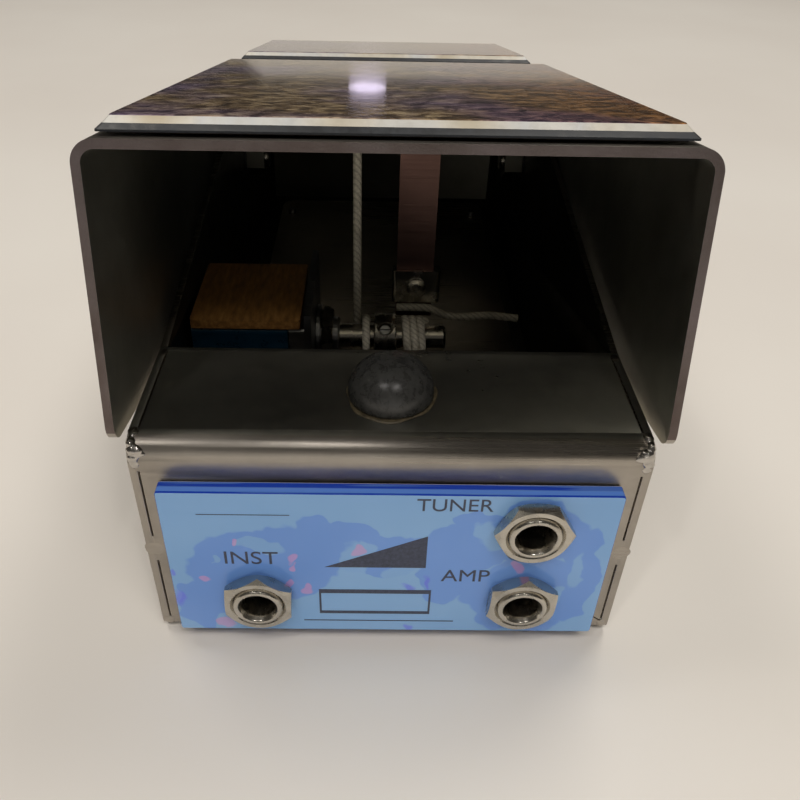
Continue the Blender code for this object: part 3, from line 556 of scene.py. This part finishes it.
STEEL = steel("satin_stainless", (0.46, 0.42, 0.37))
INNER_STEEL = steel("inside_stainless", (0.50, 0.50, 0.44), (260, 300, 300), 0.32, 0.44)
# Steel at about a quarter of the outer sheet's brightness: painted shade for the base's inside faces and the
# hinge nuts, which sit in shadow.
SHADE_DARK_STEEL = steel("painted_shade_inside_stainless", (0.11, 0.105, 0.085), (260, 300, 300), 0.34, 0.46)
LIP_STEEL = steel("lip_stainless", (0.46, 0.45, 0.40), (300, 420, 420), 0.28, 0.42, 0.983)
FRONT_STEEL = steel("front_stainless", (0.47, 0.43, 0.38), (300, 900, 900), 0.40, 0.50)
STRAP_STEEL = steel("strap_stainless", (0.18, 0.105, 0.088), smooth=0.30, worn=0.42)
EDGE = cut_edge("cut_steel_edge", (0.185, 0.155, 0.148))
WELD = plating("weld_bead", (0.55, 0.52, 0.48), 0.12, 0.3)
NICKEL = plating("nickel_plate", (0.56, 0.525, 0.46))
ZINC = plating("zinc_plate", (0.42, 0.42, 0.43), 0.26, 0.42)
RUBBER = rubber("black_rubber_detail")
BURL = burl_laminate("burl_ply")
PEARL = pearl_ply("pearl_ply")
BLACK_PLY = black_ply("black_ply")
ADHESIVE = adhesive_sheet("brown_adhesive_sheet")
BLUE_CASE = plain("blue_moulding", (0.003, 0.018, 0.034), 0.3)
PHENOLIC = phenolic("phenolic_sheet")
BRASS = plating("tinned_brass_detail", (0.58, 0.52, 0.38), 0.22, 0.4)
CORD = cord_fibre("cotton_cord")
NYLON = plain("nylon", (0.035, 0.035, 0.035), 0.45)
PRINT = plain("panel_print", (0.045, 0.055, 0.095), 0.35, 1500.0, 0.3)
GLUE = plain("old_glue", (0.06, 0.048, 0.028), 0.4, 900.0, 0.5, 0.3)


# --- camera, floor and light ---
def set_camera():
    """Close above the jack panel, looking down and back along the pedal."""
    place = (-3.96, -104.86, 138.9)
    yaw, pitch, roll = radians(0.86), radians(37.33), radians(1.21)
    forward = Vector((sin(yaw) * cos(pitch), cos(yaw) * cos(pitch), -sin(pitch)))
    right = Vector((cos(yaw), -sin(yaw), 0))
    up = right.cross(forward)
    rolled_right = right * cos(roll) + up * sin(roll)
    rolled_up = up * cos(roll) - right * sin(roll)
    data = bpy.data.cameras.new("camera")
    data.lens = 36.07
    data.sensor_width = 36.0
    data.shift_x = 0.0262
    data.shift_y = 0.0065
    data.clip_start = 0.005
    camera = bpy.data.objects.new("camera", data)
    turn = Matrix((rolled_right, rolled_up, -forward)).transposed()
    camera.matrix_world = Matrix.Translation(TO_ROW @ Vector(place)) @ turn.to_4x4()
    bpy.context.scene.collection.objects.link(camera)
    bpy.context.scene.camera = camera


# name, place, the point it faces, size (all in metres), watts and colour
LAMPS = (("lamp_left", (-0.55, 0.25, 1.3), (0, 0, 0), (0.50, 0.40), 3.9, (1.0, 0.94, 0.87)),
         ("lamp_right", (0.45, 0.55, 1.35), (0, 0, 0), (0.50, 0.40), 6.3, (1.0, 0.95, 0.88)),
         ("front_fill", (0.1, -0.85, 1.4), (0, 0, 0.03), (1.2, 0.6), 11.0, (1.0, 0.95, 0.90)),
         ("spot_left", (-0.44, -0.71, 1.24), (0, 0, 0.05), (0.07, 0.07), 1.3, (1.0, 0.96, 0.92)),
         ("spot_right", (0.29, -0.79, 1.24), (0, 0, 0.05), (0.07, 0.07), 1.3, (1.0, 0.96, 0.92)),
         ("front_wall", (0, -2.3, 0.46), (0, 0, 0.1), (3.2, 0.8), 2.9, (1.0, 0.95, 0.88)),
         ("front_glint", (0.1, -1.7, 0.10), (0, 0, 0.05), (1.6, 0.05), 0.5, (1.0, 0.97, 0.92)),
         ("back_glint", (-0.012, 0.955, 0.010), (0, 0, 0.09), (0.052, 0.012), 0.0045, (0.86, 0.76, 1.0)))


def area_light(name, place, aim, size, power, colour):
    data = bpy.data.lights.new(name, "AREA")
    data.shape = "RECTANGLE"
    data.size, data.size_y = size
    data.energy = power
    data.color = colour
    light = bpy.data.objects.new(name, data)
    light.location = place
    light.rotation_euler = (Vector(aim) - Vector(place)).to_track_quat("-Z", "Y").to_euler()
    bpy.context.scene.collection.objects.link(light)


def set_world():
    """A dim room, darker near and below the horizon."""
    world = bpy.data.worlds.new("room")
    bpy.context.scene.world = world
    world.use_nodes = True
    tree = world.node_tree
    split = tree.nodes.new("ShaderNodeSeparateXYZ")
    ramp = tree.nodes.new("ShaderNodeValToRGB")
    stops = ((0.0, (0.02, 0.018, 0.015)), (0.12, (0.045, 0.042, 0.038)), (0.5, (0.06, 0.056, 0.05)),
             (1.0, (0.06, 0.057, 0.052)))
    fill_ramp(ramp.color_ramp.elements, stops)
    tree.links.new(tree.nodes.new("ShaderNodeTexCoord").outputs["Generated"], split.inputs[0])
    tree.links.new(split.outputs["Z"], ramp.inputs["Fac"])
    tree.links.new(ramp.outputs["Color"], tree.nodes["Background"].inputs["Color"])
    tree.nodes["Background"].inputs["Strength"].default_value = 1.0


def set_stage():
    """A white sheet that ends about a metre behind the pedal, a dim room and the lamps."""
    outline = [(-3000, -3000), (3000, -3000), (3000, 1040), (-150, 1040), (-150, 850), (-3000, 850)]
    sheet = prism("floor", outline, "Z", -2, 0)
    sheet.data.materials.append(floor_paper("pale_floor"))
    set_world()
    for lamp in LAMPS:
        area_light(*lamp)
    bpy.data.objects["front_fill"].visible_glossy = False
    bpy.data.lights["back_glint"].shape = "ELLIPSE"
    bpy.context.scene.view_settings.view_transform = "Standard"


# --- base ---
def base_outline():
    points = [(0, BASE_BOTTOM), (0, BASE_HEIGHT), (FRONT_LIP, BASE_HEIGHT), (110, MIDDLE_HEIGHT - 1),
              (HINGE_Y + 12, MIDDLE_HEIGHT), (BASE_LENGTH - REAR_LIP, REAR_HEIGHT),
              (BASE_LENGTH, REAR_HEIGHT), (BASE_LENGTH, BASE_BOTTOM)]
    return rounded(points, [1.5, BEND, 6, 30, 20, 6, BEND, 1.5])


def base_inside():
    low = BASE_BOTTOM + SHEET
    rear = BASE_LENGTH - REAR_LIP
    above = MIDDLE_HEIGHT + 5
    points = [(SHEET, low), (SHEET, BASE_HEIGHT - SHEET), (FRONT_LIP, BASE_HEIGHT - SHEET),
              (FRONT_LIP, above), (rear, above), (rear, REAR_HEIGHT - SHEET),
              (BASE_LENGTH - SHEET, REAR_HEIGHT - SHEET), (BASE_LENGTH - SHEET, low)]
    return rounded(points, [0, BEND - SHEET, 0, 0, 0, 0, BEND - SHEET, 0])


SEAM_X = HALF_BASE - SHEET - 0.15
SOCKETS = {}
for socket_name in ("input_jack", "tuner_jack", "output_jack"):
    low_corner, high_corner = node_box(socket_name + "_nut")
    SOCKETS[socket_name] = ((low_corner[0] + high_corner[0]) / 2, (low_corner[2] + high_corner[2]) / 2)


def folded_base():
    inner = HALF_BASE - SHEET
    shell = prism("folded_base", base_outline(), "X", -HALF_BASE, HALF_BASE)
    tools = [prism("inside", base_inside(), "X", -inner, inner),
             prism("window", rounded(box_outline(-32, 32, 18, BASE_LENGTH - 17), [5] * 4), "Z",
                   0, BASE_BOTTOM + SHEET + 1)]
    tools += [prism("hole", circle_outline(place, THREAD_HOLE, 32), "Y", -2, SHEET + 2)
              for place in SOCKETS.values()]
    tools.append(prism("bush_hole", circle_outline((HINGE_Y, HINGE_Z), 5.0, 32), "X",
                       -HALF_BASE - 2, HALF_BASE + 2))
    for side in (-1, 1):
        for low, high in ((3.6, 20.6), (27.4, 43.6)):
            slit = box_outline(side * SEAM_X - 0.16, side * SEAM_X + 0.16, low, high)
            tools.append(prism("slit", slit, "Y", -1, 0.9))
        lip_slit = box_outline(side * SEAM_X - 0.14, side * SEAM_X + 0.14, 4.5, FRONT_LIP - 1.5)
        tools.append(prism("lip_slit", lip_slit, "Z", BASE_HEIGHT - 0.7, BASE_HEIGHT + 1))
    boolean(shell, tools)
    soften_edges(shell, 0.18)
    paints = [STEEL, SHADE_DARK_STEEL, LIP_STEEL, FRONT_STEEL]
    fit_in(shell, "base", "stainless_steel", paints, "base_shell")
    to_pedal = TO_ROW.inverted()
    for polygon in shell.data.polygons:
        place, normal = to_pedal @ polygon.center, polygon.normal
        inside = abs(place.x) < inner + 0.1 and SHEET - 0.1 < place.y < BASE_LENGTH - SHEET + 0.1
        under_lip = place.z < BASE_HEIGHT - SHEET + 0.1 or FRONT_LIP < place.y < BASE_LENGTH - REAR_LIP
        # Inside faces and the faces under the lip take the darkened steel: painted shade where the inside
        # lies in shadow.
        if inside and under_lip and place.z > BASE_BOTTOM + SHEET - 0.1:
            polygon.material_index = paints.index(SHADE_DARK_STEEL)
        elif normal.z > 0.95 and place.y < FRONT_LIP and place.z > BASE_HEIGHT - 0.5:
            polygon.material_index = paints.index(LIP_STEEL)
        elif normal.y < -0.98 and place.y < 0.1:
            polygon.material_index = paints.index(FRONT_STEEL)


def ellipsoid(bm, centre, size, ripple, phase):
    """Adds a closed ellipsoid that is slightly lumpy."""
    for vert in bmesh.ops.create_icosphere(bm, subdivisions=4, radius=1.0)["verts"]:
        lump = 1 + ripple * (sin(vert.co.x * 5 + phase) * sin(vert.co.y * 4 + 2 * phase)
                             + sin(vert.co.z * 6 + phase))
        vert.co = Vector([c + s * value * lump for c, s, value in zip(centre, size, vert.co)])


# distance in from the side, degrees round the bend, half sizes
BEAD_LUMPS = ((0.9, 12, (1.0, 1.3, 0.7)), (0.7, 38, (0.9, 1.2, 1.0)), (1.4, 58, (1.5, 1.0, 1.2)),
              (1.0, 78, (1.1, 0.7, 1.2)), (1.9, 66, (1.6, 0.6, 0.8)), (1.1, 95, (1.0, 0.5, 0.9)))


def weld_beads():
    """Fused weld beads at the lip's corners, and ground-down spots on the corner seams."""
    for side, word in ((-1, "left"), (1, "right")):
        edge = side * HALF_BASE
        bead = bmesh.new()
        for inset, degrees, size in BEAD_LUMPS:
            turn = radians(degrees)
            centre = (edge - side * inset, BEND - (BEND - 0.25) * sin(turn),
                      BASE_HEIGHT - BEND + (BEND - 0.25) * cos(turn))
            ellipsoid(bead, centre, size, 0.05, inset + side)
        piece = finish_mesh("weld_bead_" + word, bead, smooth=80)
        fuse = piece.modifiers.new("fuse", "REMESH")
        fuse.mode = "VOXEL"
        fuse.voxel_size = 0.16 * MM
        relax = piece.modifiers.new("relax", "SMOOTH")
        relax.iterations = 4
        apply_modifiers(piece, 80)
        fit_in(piece, "base", "stainless_steel", [WELD])
        spots = bmesh.new()
        ellipsoid(spots, (edge - side * 1.5, 0.12, 24.0), (1.9, 0.24, 1.9), 0.03, side)
        ellipsoid(spots, (edge - side * 1.3, 0.3, 2.7), (1.3, 0.5, 1.2), 0.03, side)
        ellipsoid(spots, (edge - side * 1.0, FRONT_LIP - 1.8, BASE_HEIGHT - 0.1), (0.9, 1.4, 0.3), 0.03, side)
        fit_in(finish_mesh("weld_spots_" + word, spots, smooth=80), "base", "stainless_steel", [STEEL])


def domes():
    for name in ("toe_bumper", "heel_bumper"):
        low, high = node_box(name)
        radius = (high[0] - low[0]) / 2
        centre = ((low[0] + high[0]) / 2, (low[1] + high[1]) / 2, 0)
        rim, steps = 0.9, 24
        height = high[2] - low[2] - rim
        profile = [(0, low[2]), (radius - 0.25, low[2]), (radius, low[2] + 0.25)]
        for step in range(steps + 1):
            angle = pi / 2 * step / steps
            profile.append((radius * cos(angle) ** 0.92 if step < steps else 0,
                            low[2] + rim + height * sin(angle)))
        dome = turned(name + "_dome", profile, "Z", centre, 96, smooth=60)
        fit_in(dome, "base", "black_rubber", [RUBBER], name)
        ring = [(radius - 0.6, low[2] - GAP + 0.02), (radius + 0.45, low[2] - GAP + 0.02),
                (radius + 0.35, low[2] - GAP + 0.16), (radius + 0.1, low[2] - GAP + 0.3),
                (radius - 0.6, low[2])]
        glue = turned_bmesh(ring, "Z", centre, 96)
        for vert in glue.verts:
            angle = atan2(vert.co.y - centre[1], vert.co.x - centre[0])
            spread = 1 + 0.035 * sin(3 * angle + 1) + 0.02 * sin(7 * angle)
            if (vert.co - Vector(centre)).xy.length > radius:
                vert.co.x = centre[0] + (vert.co.x - centre[0]) * spread
                vert.co.y = centre[1] + (vert.co.y - centre[1]) * spread
        fit_in(finish_mesh(name + "_glue", glue), "base", "black_rubber", [GLUE])


# --- jack panel and jacks ---
def jack_panel():
    low, high = node_box("jack_panel")
    outline = rounded(box_outline(low[0], high[0], low[2], high[2]), [0.6] * 4, 6)
    panel = prism("panel_plate", outline, "Y", low[1], high[1])
    boolean(panel, [prism("hole", circle_outline(place, THREAD_HOLE, 48), "Y", low[1] - 2, high[1] + 2)
                    for place in SOCKETS.values()])
    soften_edges(panel, 0.15, 1, 60)
    paints = [panel_film("panel_face"), panel_edge("panel_edge", low[1], high[1])]
    fit_in(panel, "base", "blue_acrylic", paints, "jack_panel")
    for polygon in panel.data.polygons:
        polygon.material_index = 0 if polygon.normal.y < -0.9 else 1


def print_marks():
    """Jack labels in plain capitals, two rules, a volume wedge and an empty frame."""
    face = node_box("jack_panel")[0][1]
    low, high = face - 0.05, face - 0.01
    whole = bmesh.new()

    def add(mesh):
        whole.from_mesh(mesh)
        bpy.data.meshes.remove(mesh)

    def shape(outline):
        piece = prism_bmesh(outline, "Y", low, high)
        mesh = bpy.data.meshes.new("mark")
        piece.to_mesh(mesh)
        piece.free()
        add(mesh)

    def bar(x0, x1, z0, z1):
        shape(box_outline(x0, x1, z0, z1))

    def label(text, x, z, height, width):
        data = bpy.data.curves.new("label", "FONT")
        data.body = text
        data.align_x = "CENTER"
        data.extrude = 0.02
        thing = bpy.data.objects.new("label", data)
        bpy.context.scene.collection.objects.link(thing)
        bpy.context.view_layer.update()
        mesh = bpy.data.meshes.new_from_object(thing.evaluated_get(bpy.context.evaluated_depsgraph_get()))
        bpy.data.objects.remove(thing)
        tall = max(vert.co.y for vert in mesh.vertices)
        wide = max(vert.co.x for vert in mesh.vertices) - min(vert.co.x for vert in mesh.vertices)
        for vert in mesh.vertices:
            across, up, out = vert.co
            vert.co = (x + across * width / wide, low + 0.02 - out, z + up * height / tall)
        add(mesh)

    label("INST", -25.8, 23.7, 3.3, 10.0)
    label("TUNER", 11.4, 38.0, 2.9, 13.6)
    label("AMP", 14.7, 19.3, 3.2, 9.2)
    bar(-34.6, -18.0, 36.5, 36.65)
    shape([(-12.0, 23.0), (7.0, 23.0), (7.0, 31.5)])
    for x0, x1, z0, z1 in ((-13.3, 8.4, 15.5, 16.6), (-13.3, 8.4, 9.4, 10.2), (-13.3, -12.9, 10.2, 15.5),
                           (8.0, 8.4, 10.2, 15.5)):
        bar(x0, x1, z0, z1)
    bar(-16.5, 13.3, 7.1, 7.35)
    fit_in(finish_mesh("panel_marks", whole), "base", "blue_acrylic", [PRINT])


def hex_nut(name, centre, turn, axis, low, high, chamfer):
    """A hexagon whose corners are chamfered by a cone at both ends, with its bore."""
    flat, bore = NUT_ACROSS / 2, NUT_BORE
    corner = flat / cos(pi / 6)
    outline = [(centre[0] + corner * cos(turn + pi / 3 * side),
                centre[1] + corner * sin(turn + pi / 3 * side)) for side in range(6)]
    nut = prism(name, outline, axis, low, high)
    middle = (0, *centre) if axis == "X" else (centre[0], 0, centre[1])
    waist = corner + 0.5
    cone = [(0, low), (flat - 0.05, low), (corner, low + chamfer), (waist, low + chamfer),
            (waist, high - chamfer), (corner, high - chamfer), (flat - 0.05, high), (0, high)]
    boolean(nut, [turned("cone", cone, axis, middle, 96)], "INTERSECT")
    bored = [(0, low - 1), (bore + 0.5, low - 1), (bore + 0.5, low - 0.05), (bore, low + 0.45),
             (bore, high - 0.45), (bore + 0.5, high + 0.05), (bore + 0.5, high + 1), (0, high + 1)]
    boolean(nut, [turned("bore", bored, axis, middle, 64)])
    return nut


def jacks():
    turns = {"input_jack": 0.48, "tuner_jack": 0.012, "output_jack": 0.45}
    for name, centre in SOCKETS.items():
        low, high = node_box(name + "_nut")
        nut = hex_nut(name + "_hex", centre, turns[name], "Y", low[1], high[1], 0.75)
        fit_in(nut, "base", "nickel_plating", [NICKEL], name + "_nut")
        front = node_box(name)[0][1]
        x, z = centre
        sleeve = [(3.25, front + 12), (4.75, front + 12), (4.75, front + 0.35), (4.4, front), (3.95, front),
                  (3.8, front + 0.06), (3.7, front + 0.35), (3.35, front + 0.9), (3.25, front + 1.3)]
        thread = turned(name + "_sleeve", sleeve, "Y", (x, 0, z), 96, smooth=50)
        fit_in(thread, "base", "nickel_plating", [NICKEL], name)
        bracket = [(x - 6.4, SHEET + GAP), (x + 8.6, SHEET + GAP), (x + 8.6, 22.0), (x + 7.4, 22.0),
                   (x + 7.4, SHEET + GAP + 1.2), (x - 6.4, SHEET + GAP + 1.2)]
        plate = prism(name + "_bracket", rounded(bracket, [0, 1.6, 0.4, 0.4, 0.6, 0], 6), "Z",
                      z - 5.2, z + 5.2)
        boolean(plate, [prism("bore", circle_outline(centre, 4.7, 48), "Y", -1, 5)])
        soften_edges(plate, 0.12)
        fit_in(plate, "base", "nickel_plating", [NICKEL], name)


# --- treadle ---
ANCHOR = (-7.15, 52.2)
STRAP_RIVET = (6.4, 62.3)


def treadle_point(y, z):
    along, up = y - TREADLE_FRONT_Y, z - TREADLE_FRONT_Z
    return (along * cos(SLOPE) - up * sin(SLOPE), along * sin(SLOPE) + up * cos(SLOPE))


def treadle_channel():
    outer = rounded([(-TREADLE_OUTER, -TREADLE_DEPTH), (-TREADLE_OUTER, 0), (TREADLE_OUTER, 0),
                     (TREADLE_OUTER, -TREADLE_DEPTH), (TREADLE_INNER, -TREADLE_DEPTH),
                     (TREADLE_INNER, -SHEET), (-TREADLE_INNER, -SHEET), (-TREADLE_INNER, -TREADLE_DEPTH)],
                    [0, 3.7, 3.7, 0, 0, 2.2, 2.2, 0], 14)
    channel = prism("treadle_channel", outer, "Y", -TIP_LEAN - 2, TREADLE_LENGTH, TREADLE_FRAME)
    side = rounded([(0, 2), (-TIP_LEAN, -TREADLE_DEPTH), (TREADLE_LENGTH, -TREADLE_DEPTH),
                    (TREADLE_LENGTH, 2)], [0, 3.0, 5.0, 0], 14)
    boolean(channel, [prism("side", side, "X", -TREADLE_OUTER - 2, TREADLE_OUTER + 2, TREADLE_FRAME)],
            "INTERSECT")
    tools = [prism("bolt_hole", circle_outline(treadle_point(HINGE_Y, HINGE_Z), 3.3, 32), "X",
                   -TREADLE_OUTER - 2, TREADLE_OUTER + 2, TREADLE_FRAME)]
    sink = [(0, -3), (1.8, -3), (1.8, -1.5), (3.3, 0), (3.3, 1), (0, 1)]
    tools += [turned("sink", sink, "Z", (*place, 0), 32, TREADLE_FRAME) for place in (ANCHOR, STRAP_RIVET)]
    boolean(channel, tools)
    soften_edges(channel, 0.16)
    paints = [STEEL, EDGE, INNER_STEEL]
    fit_in(channel, "treadle", "stainless_steel", paints, "treadle")
    to_treadle = (TO_ROW @ TREADLE_FRAME).inverted()
    for polygon in channel.data.polygons:
        place = to_treadle @ polygon.center
        if abs((to_treadle.to_3x3() @ polygon.normal).normalized().y) > 0.9:
            polygon.material_index = paints.index(EDGE)
        elif abs(place.x) < TREADLE_INNER + 0.1 and place.z < -SHEET + 0.1:
            polygon.material_index = paints.index(INNER_STEEL)


def tread_plates():
    """Three bonded plies with one 45-degree bevel round each plate."""
    low, half = PLATE_BOTTOM, PLATE_HALF_WIDTH
    for name, span in PLATE_SPANS.items():
        levels = {"black": ((low, 0.0), (low + 0.33, 0.0), (low + 1.15, 0.92)),
                  "pearl": ((low + 1.15, 0.92), (low + 2.13, 1.84)),
                  "burl": ((low + 2.13, 1.84), (low + 2.28, 1.96))}
        paints = {"black": BLACK_PLY, "pearl": PEARL, "burl": BURL}
        for ply, rings in levels.items():
            bm = bmesh.new()
            loops = []
            for level, inset in rings:
                outline = rounded(box_outline(-half + inset, half - inset, span[0] + inset, span[1] - inset),
                                  [0.5] * 4, 5)
                loops.append([bm.verts.new((x, y, level)) for x, y in outline])
            bridge(bm, loops)
            piece = finish_mesh(f"{name}_{ply}", bm, TREADLE_FRAME, 25)
            fit_in(piece, "treadle", "burl_laminate", [paints[ply]], name)


# --- cord ---
def braided_tube(name, points, radius, place, body, *nodes):
    """A tube along closely spaced points whose surface is raised into a round braid."""
    sides, carriers, pitch = 40, 5, 3.2
    bm = bmesh.new()
    rings = []
    travelled = 0.0
    normal = None
    for index, point in enumerate(points):
        here = Vector(point)
        ahead = Vector(points[min(index + 1, len(points) - 1)])
        behind = Vector(points[max(index - 1, 0)])
        tangent = (ahead - behind).normalized()
        if normal is None:
            normal = tangent.orthogonal().normalized()
        normal = (normal - tangent * normal.dot(tangent)).normalized()
        side_way = tangent.cross(normal)
        if index:
            travelled += (here - Vector(points[index - 1])).length
        ring = []
        for side in range(sides):
            angle = 2 * pi * side / sides
            twist = 2 * pi * travelled / pitch
            left = sin(carriers * angle + twist)
            right = sin(carriers * angle - twist)
            relief = 0.86 + 0.14 * max(abs(left), abs(right)) ** 1.5
            ring.append(bm.verts.new(here + radius * relief * (cos(angle) * normal + sin(angle) * side_way)))
        rings.append(ring)
    bridge(bm, rings)
    piece = finish_mesh(name, bm, place, 80)
    return fit_in(piece, body, "braided_cord", [CORD], *nodes)


def curve_points(points, step):
    """Evenly spaced points on a smooth curve through a route's own points."""
    knots = [Vector(point) for point in points]
    knots = [2 * knots[0] - knots[1]] + knots + [2 * knots[-1] - knots[-2]]
    fine = []
    for a, b, c, d in zip(knots, knots[1:], knots[2:], knots[3:]):
        for index in range(60):
            t = index / 60
            fine.append(0.5 * (2 * b + (c - a) * t + (2 * a - 5 * b + 4 * c - d) * t * t
                               + (3 * b - a - 3 * c + d) * t ** 3))
    fine.append(knots[-2])
    route, walked = [fine[0]], 0.0
    for before, after in zip(fine, fine[1:]):
        walked += (after - before).length
        if walked >= step:
            route.append(after)
            walked = 0.0
    return route


def cords():
    radius = CORD_RADIUS
    low, high = node_box("drive_cord")
    x, y = (low[0] + high[0]) / 2, (low[1] + high[1]) / 2
    run = [(x, y, low[2] + (high[2] - low[2]) * step / 240) for step in range(241)]
    braided_tube("drive_cord_braid", run, radius, PEDAL_FRAME, "treadle", "drive_cord")
    strap_front = node_box("strap")[0][1]
    tail_y = strap_front - GAP - radius - 0.1
    tail = curve_points([(x, tail_y, z) for x, z in ((2.3, 40.0), (6.5, 40.05), (10.4, 39.8), (14.2, 38.0),
                                                     (18.5, 37.6), (25.0, 38.1), (32.1, 37.3))], 0.2)
    piece = braided_tube("cord_tail_braid", tail, radius, PEDAL_FRAME, "treadle", "cord_tail")
    centre_radius = SHAFT_RADIUS + GAP + radius
    for name, first, last, turns in (("cord_wrap_left", -4.95, -4.95, 0.97),
                                     ("cord_wrap_right", 4.0, 9.2, 3.0)):
        steps = ceil(turns * 130)
        helix = []
        for step in range(steps + 1):
            part = step / steps
            angle = 2 * pi * turns * part + 0.6
            along = first + (last - first) * part
            helix.append((along, centre_radius * cos(angle), centre_radius * sin(angle)))
        braided_tube(name + "_braid", helix, radius * 0.97, SHAFT_FRAME, "drum", name)


# --- drive parts ---
def drive_parts():
    low, high = node_box("cord_collar")
    outer, inner = COLLAR_RADIUS, COLLAR_BORE
    ring = [(inner, low[0]), (outer - 0.3, low[0]), (outer, low[0] + 0.3), (outer, high[0] - 0.3),
            (outer - 0.3, high[0]), (inner, high[0])]
    collar = turned("collar_ring", ring, "X", (0, 0, 0), 96, SHAFT_FRAME)
    middle = (low[0] + high[0]) / 2
    turn = Matrix.Rotation(radians(37), 4, "X")
    hole = [(0, 1.0), (1.6, 1.0), (1.6, 5.2), (1.95, 5.9), (1.95, 7.5), (0, 7.5)]
    boolean(collar, [turned("screw_hole", hole, "Z", (middle, 0, 0), 48, SHAFT_FRAME @ turn)])
    fit_in(collar, "drum", "nickel_plating", [NICKEL], "cord_collar")
    screw = [(0, 3.5), (1.3, 3.5), (1.3, 4.6), (1.1, 4.75), (0, 4.75)]
    body = turned("grub_screw", screw, "Z", (middle, 0, 0), 32, SHAFT_FRAME @ turn)
    slot = box_outline(middle - 1.5, middle + 1.5, -0.22, 0.22)
    boolean(body, [prism("slot", slot, "Z", 4.2, 5.2, SHAFT_FRAME @ turn)])
    fit_in(body, "drum", "zinc_plating", [ZINC], "collar_set_screw")
    low, high = node_box("pot_shaft")
    radius = (high[1] - low[1]) / 2
    rod = [(0, low[0]), (radius, low[0]), (radius, high[0] - 0.6), (radius - 0.6, high[0]), (0, high[0])]
    shaft = turned("shaft_rod", rod, "X", (0, 0, 0), 64, SHAFT_FRAME)
    boolean(shaft, [prism("tip_slot", box_outline(-0.5, 0.5, -5, 5), "X",
                          high[0] - 1.5, high[0] + 1, SHAFT_FRAME)])
    fit_in(shaft, "drum", "nickel_plating", [NICKEL], "pot_shaft")
    low, high = node_box("pot_nut")
    nut = hex_nut("pot_hex", (SHAFT_Y, SHAFT_Z), 0.2, "X", low[0], high[0], 0.6)
    fit_in(nut, "base", "zinc_plating", [NICKEL], "pot_nut")


def hinge_bolts():
    for side, name in ((-1, "left"), (1, "right")):
        low, high = node_box("hinge_bolt_" + name)
        outer = max(abs(low[0]), abs(high[0]))
        inner = min(abs(low[0]), abs(high[0]))
        head = outer - 2.0
        profile = [(0, inner), (2.6, inner), (3.0, inner + 0.5), (3.0, head), (5.05, head),
                   (5.2, head + 0.15)]
        profile += [(5.2 * cos(angle) ** 0.6, head + 0.5 + 1.5 * sin(angle))
                    for angle in (radians(degree) for degree in range(0, 75, 6))]
        profile += [(1.9, outer), (0, outer)]
        piece = turned("button_bolt_" + name, [(radius, side * along) for radius, along in profile], "X",
                       (0, 0, 0), 64, HINGE_FRAME)
        outline = circle_outline((0, 0), 1.75, 6)
        span = sorted((side * (outer - 1.4), side * (outer + 1)))
        boolean(piece, [prism("key", outline, "X", *span, HINGE_FRAME)])
        fit_in(piece, "treadle", "zinc_plating", [NICKEL], "hinge_bolt_" + name)


# --- carried-over CAD nodes ---
def dress(node, made):
    mesh = frame["nodes"][node].data
    mesh.materials.clear()
    mesh.materials.append(made)


def dress_nodes():
    finishes = {STEEL: ["bottom_cover"], RUBBER: ["rubber_sole"], PHENOLIC: ["pot_board"],
                BLUE_CASE: ["pot_housing"], ADHESIVE: ["toe_plate_adhesive", "heel_plate_adhesive"],
                NYLON: ["hinge_bush_left", "hinge_bush_right"],
                ZINC: ["pot_bracket", "pot_front_case", "pot_washer", "cord_anchor", "strap_rivet",
                       "bracket_screw_1", "bracket_screw_2"], NICKEL: ["strap_clip", "clip_rivet"],
                # The hinge nuts take the darkened inside steel: painted shade, as they sit in shadow inside
                # the base.
                SHADE_DARK_STEEL: ["hinge_nut_left", "hinge_nut_right"], STRAP_STEEL: ["strap"],
                BRASS: ["pot_lug_1", "pot_lug_2", "pot_lug_3"]}
    finishes[ZINC] += [f"cover_screw_{number}" for number in range(1, 5)]
    for jack in SOCKETS:
        finishes[PHENOLIC].append(jack + "_insulator")
        finishes[BRASS].append(jack + "_contact")
    for made, nodes in finishes.items():
        for node in nodes:
            dress(node, made)
    wires = {"input_wire": (0.66, 0.65, 0.62), "output_wire": (0.45, 0.03, 0.025),
             "tuner_wire": (0.55, 0.40, 0.05), "ground_wire": (0.02, 0.02, 0.02)}
    for node, colour in wires.items():
        dress(node, plain(node + "_insulation", colour, 0.4, 900.0, 0.15))


set_camera()
set_stage()
folded_base()
weld_beads()
domes()
jack_panel()
print_marks()
jacks()
treadle_channel()
tread_plates()
cords()
drive_parts()
hinge_bolts()
dress_nodes()
